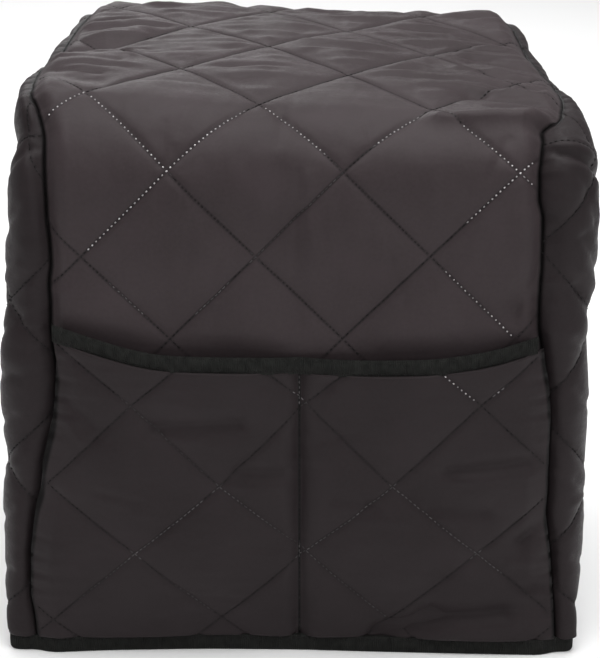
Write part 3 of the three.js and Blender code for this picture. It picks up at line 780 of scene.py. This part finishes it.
def side_panel(side):
    face = side_face(side, FINE, RING_STEPS)
    lattice_depth, lattice_height = SIDE_LATTICE[side]
    depth, height = face["cloth"].T
    across = (depth - lattice_depth) / HALF_DIAMOND
    up = (height - lattice_height) / HALF_DIAMOND
    seed = 40 if side == "right" else 50
    line, relief = quilting(across, up)
    relief += fold_height(SIDE_FOLDS[side], face["places"][:, 1], face["places"][:, 2])
    relief += fold_height(SIDE_CREASES[side], depth, height)
    relief += wrinkles(SIDE_WRINKLES, depth, height, seed)
    relief += 0.22 * noise(seed + 2, depth / 10, height / 5) * smooth(0, 8, line)
    inside = smooth(0, 7, face["to_seam"])
    gathers = seam_puckers(face["to_seam"], face["along_seam"], seed + 3) * smooth(0, 3, face["to_seam"])
    raised = face["points"] + face["outs"] * (relief * inside + gathers)[:, None]
    raised[:, 2] = np.maximum(raised[:, 2], CLOTH_START)
    rough = side_face(side, 1, 2)
    outer = {"points": raised, "quads": face["quads"], "rim": face["rim"]}
    inner = {
        "points": rough["points"] - rough["outs"] * CLOTH_THICKNESS,
        "quads": rough["quads"],
        "rim": rough["rim"],
    }
    return finish_panel(f"quilted_side_{side}", outer, inner, face["cloth"], line, face["to_seam"])


def pocket_top(x):
    return mouth_at(x) - TAPE_HEIGHT + 1.0


def pocket_share(x, height):
    left = seam_at("left", height)
    right = seam_at("right", height)
    share = np.where(x < DIVIDER_X, (x - left) / (DIVIDER_X - left), (x - DIVIDER_X) / (right - DIVIDER_X))
    return np.clip(share, 0, 1)


def pocket_back(x, height):
    """How far the pocket cloth's back stands off the front: open at the mouth, closed where sewn."""
    bow = np.sin(math.pi * pocket_share(x, height)) ** GAPE_POWER
    return POCKET_GAPE * bow * smooth(CLOTH_START, GAPE_HEIGHT, height) + POCKET_CLEARANCE


def pocket_grid(fine):
    steps = np.arange(2 * POCKET_HALF_COLUMNS * fine + 1) / fine - POCKET_HALF_COLUMNS
    rows = np.arange(POCKET_ROWS * fine + 1) / fine / POCKET_ROWS
    guess = CLOTH_START + (POCKET_USUAL_HEIGHT - CLOTH_START) * rows[:, None]
    reach = np.where(steps[None] < 0, DIVIDER_X - seam_at("left", guess), seam_at("right", guess) - DIVIDER_X)
    x = DIVIDER_X + reach * steps[None] / POCKET_HALF_COLUMNS
    height = CLOTH_START + (pocket_top(x) - CLOTH_START) * rows[:, None]
    return x, height


def pocket_places(x, height):
    across = (x - POCKET_LATTICE_X) / POCKET_HALF_WIDTH
    up = read_table(POCKET_CROSSINGS, "height", "row", height)
    return across, up


def pocket_height(x, height):
    to_seam = seam_distance(x, height)
    to_divider = np.abs(x - DIVIDER_X)
    rim = np.clip(to_seam / STEP, 0, 1)
    line, relief = quilting(*pocket_places(x, height))
    relief = relief + fold_height(POCKET_FOLDS, x, height) + fold_height(POCKET_CREASES, x, height)
    relief = relief + wrinkles(POCKET_WRINKLES, x, height)
    relief = relief + 0.25 * noise(33, x / 12, height / 4.5) * smooth(0, 8, line)
    sewn = smooth(0, STEP, to_divider)
    gathers = seam_puckers(to_seam, height, 34) + 0.6 * seam_puckers(to_divider, height, 36)
    thickness = CLOTH_THICKNESS * (SEWN_SHARE + (1 - SEWN_SHARE) * rim)
    flare = 1.0 - 0.8 * np.exp(-((to_divider / 4.0) ** 2))
    return pocket_back(x, height) + thickness * flare + relief * rim * sewn + gathers


def pocket_panel():
    x, height = pocket_grid(FINE)
    outer = grid_face(panel_point(x, height, pocket_height(x, height)))
    rough_x, rough_height = pocket_grid(1)
    inner = grid_face(panel_point(rough_x, rough_height, pocket_back(rough_x, rough_height)))
    line = line_distance(*pocket_places(x, height))
    # Painted shade: the divider counts as a seam here, so the painted seam shadow darkens it too.
    to_seam = np.minimum(seam_distance(x, height), 2.0 * np.abs(x - DIVIDER_X))
    return finish_panel("quilted_pocket", outer, inner, np.stack([x, height], axis=-1), line, to_seam)


# Ribbed tape, folded over an edge
TAPE_RIB = 1.3
RIB_SAMPLES = 2
RIB_HEIGHT = 0.16
TAPE_THICKNESS = 3.8


def resample(path, spacing, closed):
    """Even steps along a path of points."""
    if closed:
        path = np.vstack([path, path[:1]])
    lengths = np.concatenate([[0], np.cumsum(np.linalg.norm(np.diff(path, axis=0), axis=1))])
    count = int(round(lengths[-1] / spacing))
    places = np.linspace(0, lengths[-1], count + 1)
    if closed:
        places = places[:-1]
    return np.stack([np.interp(places, lengths, path[:, axis]) for axis in range(path.shape[1])], axis=-1)


def ease_path(path, reach, closed):
    """Averages each point of an even path with its neighbours."""
    if closed:
        padded = np.vstack([path[-reach:], path, path[:reach]])
    else:
        padded = np.vstack([np.repeat(path[:1], reach, 0), path, np.repeat(path[-1:], reach, 0)])
    kernel = np.ones(2 * reach + 1) / (2 * reach + 1)
    return np.stack([np.convolve(padded[:, axis], kernel, "valid") for axis in range(path.shape[1])], axis=-1)


def tape_mesh(name, path, outs, section, closed):
    """Sweeps a section of (out, up, rib) rows along a path, with ribs across the tape."""
    count = len(path)
    rib = np.cos(2 * math.pi * np.arange(count) / RIB_SAMPLES)
    section = np.array(section)
    away = section[:, 0][None] + RIB_HEIGHT * section[:, 2][None] * rib[:, None]
    points = path[:, None, :] + outs[:, None, :] * away[..., None]
    points[..., 2] += section[:, 1][None]
    sides = len(section)
    index = np.arange(count * sides).reshape(count, sides)
    following = np.roll(index, -1, axis=0)
    quads = np.stack(
        [index, following, np.roll(following, -1, axis=1), np.roll(index, -1, axis=1)], axis=-1
    )
    if not closed:
        quads = quads[:-1]
    faces = quads.reshape(-1, 4).tolist()
    if not closed:
        faces += [index[0].tolist(), index[-1][::-1].tolist()]
    travel = np.repeat(np.arange(count)[:, None] * TAPE_RIB / RIB_SAMPLES, sides, axis=1)
    level = np.repeat(section[:, 1][None], count, axis=0)
    attributes = cloth_attributes(travel, level, np.zeros_like(level), np.zeros_like(level))
    return make_mesh(name, points.reshape(-1, 3), faces, attributes)


def pocket_binding():
    x = np.linspace(seam_at("left", 206) + 0.6, seam_at("right", 206) - 0.6, 400)
    top = mouth_at(x)
    path = panel_point(x, top, pocket_back(x, top) - 0.2)
    path = ease_path(resample(path, TAPE_RIB / RIB_SAMPLES, False), 4, False)
    outs = np.tile([0.0, -1.0, 0.0], (len(path), 1))
    thick = TAPE_THICKNESS
    section = (
        (0.0, -TAPE_HEIGHT, 0),
        (thick - 0.7, -TAPE_HEIGHT, 0),
        (thick - 0.1, -TAPE_HEIGHT + 0.3, 1),
        (thick + 0.15, -TAPE_HEIGHT + 1.4, 0.6),
        (thick, -TAPE_HEIGHT + 2.0, 0.5),
        (thick + 0.25, -TAPE_HEIGHT + 3.0, 1),
        (thick + 0.35, -TAPE_HEIGHT / 2, 1),
        (thick + 0.2, -1.6, 1),
        (thick - 0.5, -0.5, 1),
        (thick - 1.5, 0.0, 0.8),
        (1.2, -0.1, 0.8),
        (0.3, -0.7, 0.5),
        (0.0, -2.0, 0),
    )
    return tape_mesh("pocket_tape", path, outs, section, False), path


def hem_path():
    """The line that the panels' lower edges follow, front, right, back and left."""
    legs = []
    for row, turn in ((0, 1), (-1, -1)):
        x, along = panel_grid(FINE)
        x, along = x[row][::turn], along[row][::turn]
        proud = CLOTH_THICKNESS + POCKET_CLEARANCE if row == 0 else 0.0
        edge = smooth(0, 10, seam_distance(x, along)) * proud
        legs.append(panel_point(x, along, edge))
    for side, turn in (("right", 1), ("left", -1)):
        face = side_face(side, FINE, RING_STEPS)
        foot = face["rim"] if side == "right" else face["rim"][::-1]
        foot = foot[1 : 2 * RING_STEPS + TOP_ROWS * FINE]
        legs.append(face["points"][foot][::turn])
    front, back, right, left = legs
    path = np.vstack([front, right, back, left])
    path[:, 2] = 0
    return path


def hem_binding():
    path = resample(hem_path(), TAPE_RIB / RIB_SAMPLES, True)
    path = ease_path(path, 7, True)
    ahead = np.roll(path, -1, axis=0) - np.roll(path, 1, axis=0)
    outs = unit(np.stack([ahead[:, 1], -ahead[:, 0], np.zeros(len(path))], axis=-1))
    top = HEM_HEIGHT + 0.6
    section = (
        (-CLOTH_THICKNESS - 0.3, 0.8, 0),
        (-CLOTH_THICKNESS + 0.4, 0.0, 0),
        (-0.6, 0.0, 0),
        (0.3, 0.3, 0.6),
        (0.75, 1.2, 1),
        (0.85, top / 2, 1),
        (0.75, top - 2.6, 1),
        (0.5, top - 1.8, 0.5),
        (0.65, top - 1.0, 0.8),
        (0.3, top - 0.1, 0.6),
        (-0.3, top, 0),
        (-CLOTH_THICKNESS, top, 0),
        (-CLOTH_THICKNESS - 0.3, top - 0.6, 0),
    )
    return tape_mesh("hem_tape", path, outs, section, True), path, outs


# Stitches: short spindles of thread that lie in the grooves
STITCH_LENGTH = 2.5
OPEN_STITCH_LENGTH = 1.3
STITCH_RADIUS = 0.34
OPEN_STITCH_RADIUS = 0.5
STITCH_SIDES = 6

# Along a stitch: place, thickness and lift of each ring
STITCH_RINGS = (
    (-1.0, 0.0, -0.45),
    (-0.72, 0.75, -0.08),
    (0.0, 1.0, 0.2),
    (0.72, 0.75, -0.08),
    (1.0, 0.0, -0.45),
)


def panel_finder(made):
    """Gives the place and the way out of a panel's face at a place in its flat cloth."""
    flat, points, quads = made["flat"], made["points"], made["quads"]
    tree = BVHTree.FromPolygons(flat.tolist(), quads.tolist())

    def find(across, up):
        spot, _, index, _ = tree.ray_cast(Vector((across, up, 5)), Vector((0, 0, -1)))
        if index is None:
            return None
        corners = quads[index]
        weights = poly_3d_calc([Vector(flat[corner]) for corner in corners], spot)
        place = np.array(weights) @ points[corners]
        return place, unit(facing(points, corners))

    return find


def lattice_lines(centre_at, half_width, crossings, low, high):
    """Every stitch line of a lattice, as even steps in the flat cloth."""
    reach_x = np.array([low[0], high[0]]) / half_width
    reach_up = np.interp([low[1], high[1]], crossings["height"], crossings["row"])
    first = int(math.floor((reach_up[0] - reach_x[1]) / 2)) - 1
    last = int(math.ceil((reach_up[1] - reach_x[0]) / 2)) + 1
    for lean in (1, -1):
        for number in range(first, last + 1):
            across = np.linspace(reach_x[0], reach_x[1], 400)
            up = lean * across + 2 * number
            inside = (up > reach_up[0]) & (up < reach_up[1])
            if inside.sum() < 8:
                continue
            height = np.interp(up[inside], crossings["row"], crossings["height"])
            x = centre_at(height) + across[inside] * half_width
            yield resample(np.stack([x, height], axis=-1), STITCH_PITCH, False)


def even_crossings(centre, low, high):
    """The crossings of a lattice of even diamonds, as the pocket's table has them."""
    rows = (math.floor((low - centre) / HALF_DIAMOND) - 1, math.ceil((high - centre) / HALF_DIAMOND) + 1)
    return {"row": rows, "height": [centre + HALF_DIAMOND * row for row in rows]}


def stitch_mesh(name, centres, runs, outs, opens):
    """One mesh of spindles, each along its run, with how open its holes are."""
    centres, runs, outs, opens = np.array(centres), np.array(runs), np.array(outs), np.array(opens)
    count = len(centres)
    opened = smooth(0.15, 0.5, opens)
    reach = (STITCH_LENGTH + (OPEN_STITCH_LENGTH - STITCH_LENGTH) * opened)[:, None] / 2
    radius = (STITCH_RADIUS + (OPEN_STITCH_RADIUS - STITCH_RADIUS) * opened)[:, None, None]
    runs = unit(runs)
    outs = unit(outs - runs * np.sum(outs * runs, axis=1)[:, None])
    sides = np.cross(runs, outs)
    rings = []
    for share, thick, lift in STITCH_RINGS:
        middle = centres + runs * share * reach + outs * lift
        if thick == 0:
            rings.append(middle[:, None])
            continue
        turns = np.arange(STITCH_SIDES) * 2 * math.pi / STITCH_SIDES
        around = (
            outs[:, None] * np.cos(turns)[None, :, None] + sides[:, None] * np.sin(turns)[None, :, None]
        )
        rings.append(middle[:, None] + around * thick * radius)
    points = np.concatenate(rings, axis=1)
    each = points.shape[1]
    faces = []
    inner_rings = len(STITCH_RINGS) - 2
    for side in range(STITCH_SIDES):
        following = (side + 1) % STITCH_SIDES
        faces.append((0, 1 + side, 1 + following))
        for ring in range(inner_rings - 1):
            near = 1 + ring * STITCH_SIDES
            far = near + STITCH_SIDES
            faces.append((near + side, far + side, far + following, near + following))
        near = 1 + (inner_rings - 1) * STITCH_SIDES
        faces.append((near + side, each - 1, near + following))
    bases = range(0, count * each, each)
    faces = [tuple(base + corner for corner in face) for base in bases for face in faces]
    return make_mesh(name, points.reshape(-1, 3), faces, {"open": np.repeat(opens, each)})


def quilt_stitches(name, made, lines, keep, opens, seed):
    """The stitches of one panel: those of its lines that keep() leaves standing."""
    find = panel_finder(made)
    random = np.random.default_rng(seed)
    centres, runs, outs, shares = [], [], [], []
    for line in lines:
        for (across, up), (run_x, run_up) in zip(line, unit(np.gradient(line, axis=0))):
            if not keep(across, up):
                continue
            here = find(across, up)
            ahead = find(across + run_x, up + run_up)
            if here is None or ahead is None:
                continue
            centres.append(here[0])
            runs.append(ahead[0] - here[0])
            outs.append(here[1])
            strength = float(open_share(opens, across, up))
            shares.append(min(1.0, strength * random.uniform(0.5, 1.1) + random.uniform(0.0, 0.02)))
    return stitch_mesh(name, centres, runs, outs, shares)


def long_panel_stitches(made):
    low, high = (-220, 120), (220, CLOTH_END - 4)
    crossings = even_crossings(LATTICE_ALONG, low[1], high[1])
    lines = lattice_lines(lattice_x, HALF_DIAMOND, crossings, low, high)

    def keep(x, along):
        return along > mouth_at(x) + 1.5 and seam_distance(x, along) > 3.0

    return quilt_stitches("quilting_long_panel", made, lines, keep, PANEL_OPEN_RUNS, 61)


def pocket_stitches(made):
    low, high = (-200, CLOTH_START + 2), (200, 214)
    lines = list(lattice_lines(lambda _: POCKET_LATTICE_X, POCKET_HALF_WIDTH, POCKET_CROSSINGS, low, high))
    divider = np.array([[DIVIDER_X, CLOTH_START + 3], [DIVIDER_X, pocket_top(DIVIDER_X) - 1]])
    lines.append(resample(divider, STITCH_PITCH, False))

    def keep(x, height):
        return height < pocket_top(x) - 1.5 and seam_distance(x, height) > 3.0

    return quilt_stitches("quilting_pocket", made, lines, keep, POCKET_OPEN_RUNS, 62)


def side_stitches(side, made):
    depth, height = SIDE_LATTICE[side]
    low, high = (-60, CLOTH_START + 2), (DEPTH + 60, 380)
    crossings = even_crossings(height, low[1], high[1])
    lines = lattice_lines(lambda _: depth, HALF_DIAMOND, crossings, low, high)

    def keep(across, up):
        return up > CLOTH_START + 2

    return quilt_stitches(f"quilting_side_{side}", made, lines, keep, (), 63 if side == "right" else 64)


def tape_stitches(name, path, outs, level, away, seed):
    """A row of stitches along a tape, near its edge."""
    random = np.random.default_rng(seed)
    every = max(2, int(round(STITCH_PITCH / (TAPE_RIB / RIB_SAMPLES))))
    places = np.arange(every, len(path) - every, every)
    centres = path[places] + outs[places] * away + np.array([0, 0, level])
    runs = path[places + 1] - path[places - 1]
    return stitch_mesh(name, centres, runs, outs[places], random.uniform(0.0, 0.01, len(places)))


# Materials
class Shading:
    """A new material, with short names for the few kinds of node that it needs."""

    def __init__(self, name):
        self.material = bpy.data.materials.new(name)
        self.material.use_nodes = True
        self.nodes = self.material.node_tree.nodes
        self.links = self.material.node_tree.links

    def feed(self, socket, value):
        if isinstance(value, bpy.types.NodeSocket):
            self.links.new(value, socket)
        else:
            socket.default_value = value

    def surface(self, name, value):
        self.feed(self.nodes["Principled BSDF"].inputs[name], value)

    def attribute(self, name, output="Fac"):
        node = self.nodes.new("ShaderNodeAttribute")
        node.attribute_name = name
        return node.outputs[output]

    def cloth_place(self):
        """A place in the cloth, whole and in parts: across, up, and away from a stitch line."""
        place = self.attribute("cloth", "Vector")
        split = self.nodes.new("ShaderNodeSeparateXYZ")
        self.links.new(place, split.inputs[0])
        return place, split.outputs

    def object_place(self):
        return self.nodes.new("ShaderNodeTexCoord").outputs["Object"]

    def maths(self, operation, first, second=0.0):
        node = self.nodes.new("ShaderNodeMath")
        node.operation = operation
        self.feed(node.inputs[0], first)
        self.feed(node.inputs[1], second)
        return node.outputs[0]

    def ripple(self, value, pitch):
        """A sine wave of a place in the cloth, from -1 to 1."""
        return self.maths("SINE", self.maths("MULTIPLY", value, 2 * math.pi / (pitch * MM)))

    def noise(self, vector, scale, detail=2.0):
        node = self.nodes.new("ShaderNodeTexNoise")
        node.inputs["Scale"].default_value = scale
        node.inputs["Detail"].default_value = detail
        self.links.new(vector, node.inputs["Vector"])
        return node.outputs[0]

    def ranged(self, value, from_low, from_high, to_low, to_high):
        node = self.nodes.new("ShaderNodeMapRange")
        for socket, number in zip(node.inputs[1:5], (from_low, from_high, to_low, to_high)):
            socket.default_value = number
        self.links.new(value, node.inputs[0])
        return node.outputs[0]

    def mixed(self, share, first, second):
        node = self.nodes.new("ShaderNodeMix")
        node.data_type = "RGBA"
        self.feed(node.inputs["Factor"], share)
        self.feed(node.inputs[6], first)
        self.feed(node.inputs[7], second)
        return node.outputs[2]

    def bump(self, height, distance, strength, normal=None):
        node = self.nodes.new("ShaderNodeBump")
        node.inputs["Distance"].default_value = distance
        node.inputs["Strength"].default_value = strength
        self.links.new(height, node.inputs["Height"])
        if normal is not None:
            self.links.new(normal, node.inputs["Normal"])
        return node.outputs[0]


# Pitches in millimetres, depths in metres, then tones
WEAVE_PITCH = 0.62
TAPE_THREAD = 0.7
WEAVE_DEPTH = 0.00006
CREASE_DEPTH = 0.0008
RIB_DEPTH = 0.00025
FIBRE_DEPTH = 0.0001
CLOTH_DARK = (0.032, 0.0245, 0.026, 1)
CLOTH_LIGHT = (0.046, 0.036, 0.0385, 1)
# Painted shade: the next tone is the shadow in the stitch grooves.
CLOTH_GROOVE_SHADOW = (0.010, 0.0085, 0.009, 1)
# Painted shade: the next tone is the shadow beside the seams.
SEAM_SHADOW = (0.0025, 0.002, 0.002, 1)
CLOTH_ROSY = (0.047, 0.0355, 0.039, 1)
TAPE_DARK = (0.009, 0.0092, 0.0086, 1)
TAPE_LIGHT = (0.0205, 0.021, 0.0195, 1)
THREAD_DARK = (0.008, 0.0068, 0.007, 1)
THREAD_LIGHT = (0.62, 0.59, 0.60, 1)


def cloth_material(name, shade, groove_shadow_share):
    """Satin nylon with painted shade: shade scales the colour down for the side panels, which get less light,
    and for the pocket, for its shade and the weaker sheen of its cross-grain cloth; the colour is also
    darkened along stitch grooves and beside seams.
    """
    make = Shading(name)
    _, parts = make.cloth_place()
    flat = make.nodes.new("ShaderNodeCombineXYZ")
    for axis in ("X", "Y"):
        make.links.new(parts[axis], flat.inputs[axis])
    cloth = flat.outputs[0]

    patches = make.noise(cloth, 16.0, 3.0)
    slubs = make.noise(cloth, 420.0)
    mottle = make.maths("ADD", make.maths("MULTIPLY", patches, 0.65), make.maths("MULTIPLY", slubs, 0.35))
    # Painted shade: each tone is scaled by shade, so a piece in less light gets a darker colour.
    tones = []
    for tone in (CLOTH_DARK, CLOTH_LIGHT, CLOTH_ROSY):
        tones.append(tuple(part * shade for part in tone[:3]) + (1,))
    colour = make.mixed(make.ranged(mottle, 0.3, 0.7, 0.0, 1.0), tones[0], tones[1])
    rosy = make.ranged(make.noise(cloth, 23.0), 0.55, 0.75, 0.0, 0.55)
    colour = make.mixed(rosy, colour, tones[2])
    # Painted shade: the cloth is darkened near each stitch line, for the shadow in its groove.
    painted_groove_shadow = make.ranged(parts["Z"], 0.0004, 0.0015, groove_shadow_share, 0.0)
    # Painted shade: the cloth turns near black beside a seam, for the shadow in the seam's groove.
    painted_seam_shadow = make.ranged(make.attribute("to_seam"), 0.0005, 0.0022, 1.0, 0.0)
    colour = make.mixed(painted_groove_shadow, colour, CLOTH_GROOVE_SHADOW)
    colour = make.mixed(painted_seam_shadow, colour, SEAM_SHADOW)
    make.surface("Base Color", colour)
    make.surface("Roughness", make.ranged(slubs, 0.3, 0.7, 0.38, 0.52))
    make.surface("Specular IOR Level", 0.1)
    make.surface("Sheen Weight", 0.03)
    make.surface("Sheen Roughness", 0.45)
    make.surface("Sheen Tint", (0.9, 0.84, 0.88, 1))

    weave = make.maths("MULTIPLY", make.ripple(parts["X"], WEAVE_PITCH), make.ripple(parts["Y"], WEAVE_PITCH))
    creased = make.bump(make.noise(cloth, 130.0, 4.0), CREASE_DEPTH, 0.35)
    make.surface("Normal", make.bump(weave, WEAVE_DEPTH, 0.5, creased))
    return make.material


def tape_material():
    make = Shading("ribbed_tape")
    place, parts = make.cloth_place()
    worn = make.noise(place, 240.0, 3.0)
    make.surface("Base Color", make.mixed(make.ranged(worn, 0.3, 0.7, 0.0, 1.0), TAPE_DARK, TAPE_LIGHT))
    make.surface("Roughness", make.ranged(worn, 0.3, 0.7, 0.62, 0.82))
    make.surface("Specular IOR Level", 0.08)
    make.surface("Sheen Weight", 0.02)
    make.surface("Sheen Tint", (0.8, 0.84, 0.8, 1))
    thread = make.maths("MULTIPLY", make.ripple(parts["Y"], TAPE_THREAD), 0.4)
    ribbed = make.maths("ADD", make.ripple(parts["X"], TAPE_RIB), thread)
    make.surface("Normal", make.bump(ribbed, RIB_DEPTH, 0.8))
    return make.material


def thread_material():
    make = Shading("quilting_thread")
    fibre = make.noise(make.object_place(), 2600.0)
    dark = make.mixed(make.ranged(fibre, 0.3, 0.7, 0.0, 0.1), THREAD_DARK, CLOTH_LIGHT)
    make.surface("Base Color", make.mixed(make.attribute("open"), dark, THREAD_LIGHT))
    make.surface("Roughness", 0.7)
    make.surface("Specular IOR Level", 0.1)
    make.surface("Normal", make.bump(fibre, FIBRE_DEPTH, 0.5))
    return make.material


def floor_material():
    make = Shading("pale_floor")
    faint = make.noise(make.object_place(), 3.0)
    make.surface("Base Color", make.mixed(faint, (0.93, 0.93, 0.93, 1), (0.95, 0.95, 0.95, 1)))
    make.surface("Roughness", 0.9)
    return make.material


# The object's pieces
panel, panel_made = long_panel()
right_side, right_made = side_panel("right")
left_side, left_made = side_panel("left")
pocket, pocket_made = pocket_panel()
mouth_tape, mouth_line = pocket_binding()
hem_tape, hem_line, hem_outs = hem_binding()

panel_thread = long_panel_stitches(panel_made)
right_thread = side_stitches("right", right_made)
left_thread = side_stitches("left", left_made)
pocket_thread = pocket_stitches(pocket_made)
mouth_outs = np.tile([0.0, -1.0, 0.0], (len(mouth_line), 1))
mouth_level = -TAPE_HEIGHT + 2.0
mouth_thread = tape_stitches(
    "stitches_pocket_tape", mouth_line, mouth_outs, mouth_level, TAPE_THICKNESS, 65
)
hem_thread = tape_stitches("stitches_hem_tape", hem_line, hem_outs, HEM_HEIGHT - 1.2, 0.55, 66)

for material, covered in (
    (cloth_material("quilted_nylon", 1.0, 0.45), (panel,)),
    # Painted shade: the side panels and the pocket get darker copies of the cloth, for the shade they are in.
    (cloth_material("quilted_nylon_sides_painted_shadow", 0.5, 0.45), (right_side, left_side)),
    (cloth_material("quilted_nylon_pocket_painted_shadow", 0.55, 0.25), (pocket,)),
    (tape_material(), (mouth_tape, hem_tape)),
    (thread_material(), (panel_thread, right_thread, left_thread, pocket_thread, mouth_thread, hem_thread)),
):
    for piece in covered:
        piece.data.materials.append(material)

for cloth, thread, node, cloth_slot in (
    (panel, panel_thread, "main_panel", "quilted_cloth"),
    (right_side, right_thread, "side_panel_right", "quilted_cloth"),
    (left_side, left_thread, "side_panel_left", "quilted_cloth"),
    (pocket, pocket_thread, "pocket_panel", "quilted_cloth"),
    (mouth_tape, mouth_thread, "pocket_binding", "binding_tape"),
    (hem_tape, hem_thread, "hem_binding", "binding_tape"),
):
    for piece, slot in ((cloth, cloth_slot), (thread, "stitching")):
        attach(piece, "root")
        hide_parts(node)

# Camera, light and floor
CAMERA_LENS = 115.5
CAMERA_PLACE = (0.0034, -1.2877, 0.62)
CAMERA_LOOKS_DOWN = 19.7
FLOOR_CORNERS = ((-4000, -4000, 0), (4000, -4000, 0), (4000, 4000, 0), (-4000, 4000, 0))
camera = add_object("camera", bpy.data.cameras.new("camera"))
camera.data.lens = CAMERA_LENS
camera.location = CAMERA_PLACE
camera.rotation_euler = (math.radians(90 - CAMERA_LOOKS_DOWN), 0, 0)
bpy.context.scene.camera = camera


def area_light(name, place, aim, size, power):
    lamp = bpy.data.lights.new(name, "AREA")
    lamp.shape = "RECTANGLE"
    lamp.size, lamp.size_y = size
    lamp.energy = power
    holder = add_object(name, lamp)
    holder.location = place
    holder.rotation_euler = (Vector(aim) - Vector(place)).to_track_quat("-Z", "Y").to_euler()


area_light("light_above", (0.1, -0.1, 2.3), (0, -0.1, 0), (2.4, 2.2), 78)
area_light("light_behind", (-0.5, 2.1, 1.2), (0, 0, 0.34), (1.2, 0.5), 9)
area_light("light_front", (1.3, -2.4, 1.0), (0, -0.14, 0.1), (1.4, 1.0), 11)

world = bpy.data.worlds.new("pale_room")
world.use_nodes = True
world.node_tree.nodes["Background"].inputs["Color"].default_value = (1, 1, 1, 1)
world.node_tree.nodes["Background"].inputs["Strength"].default_value = 0.3
bpy.context.scene.world = world

floor = make_mesh("floor", FLOOR_CORNERS, [(0, 1, 2, 3)])
floor.data.materials.append(floor_material())
bpy.context.scene.view_settings.view_transform = "Standard"
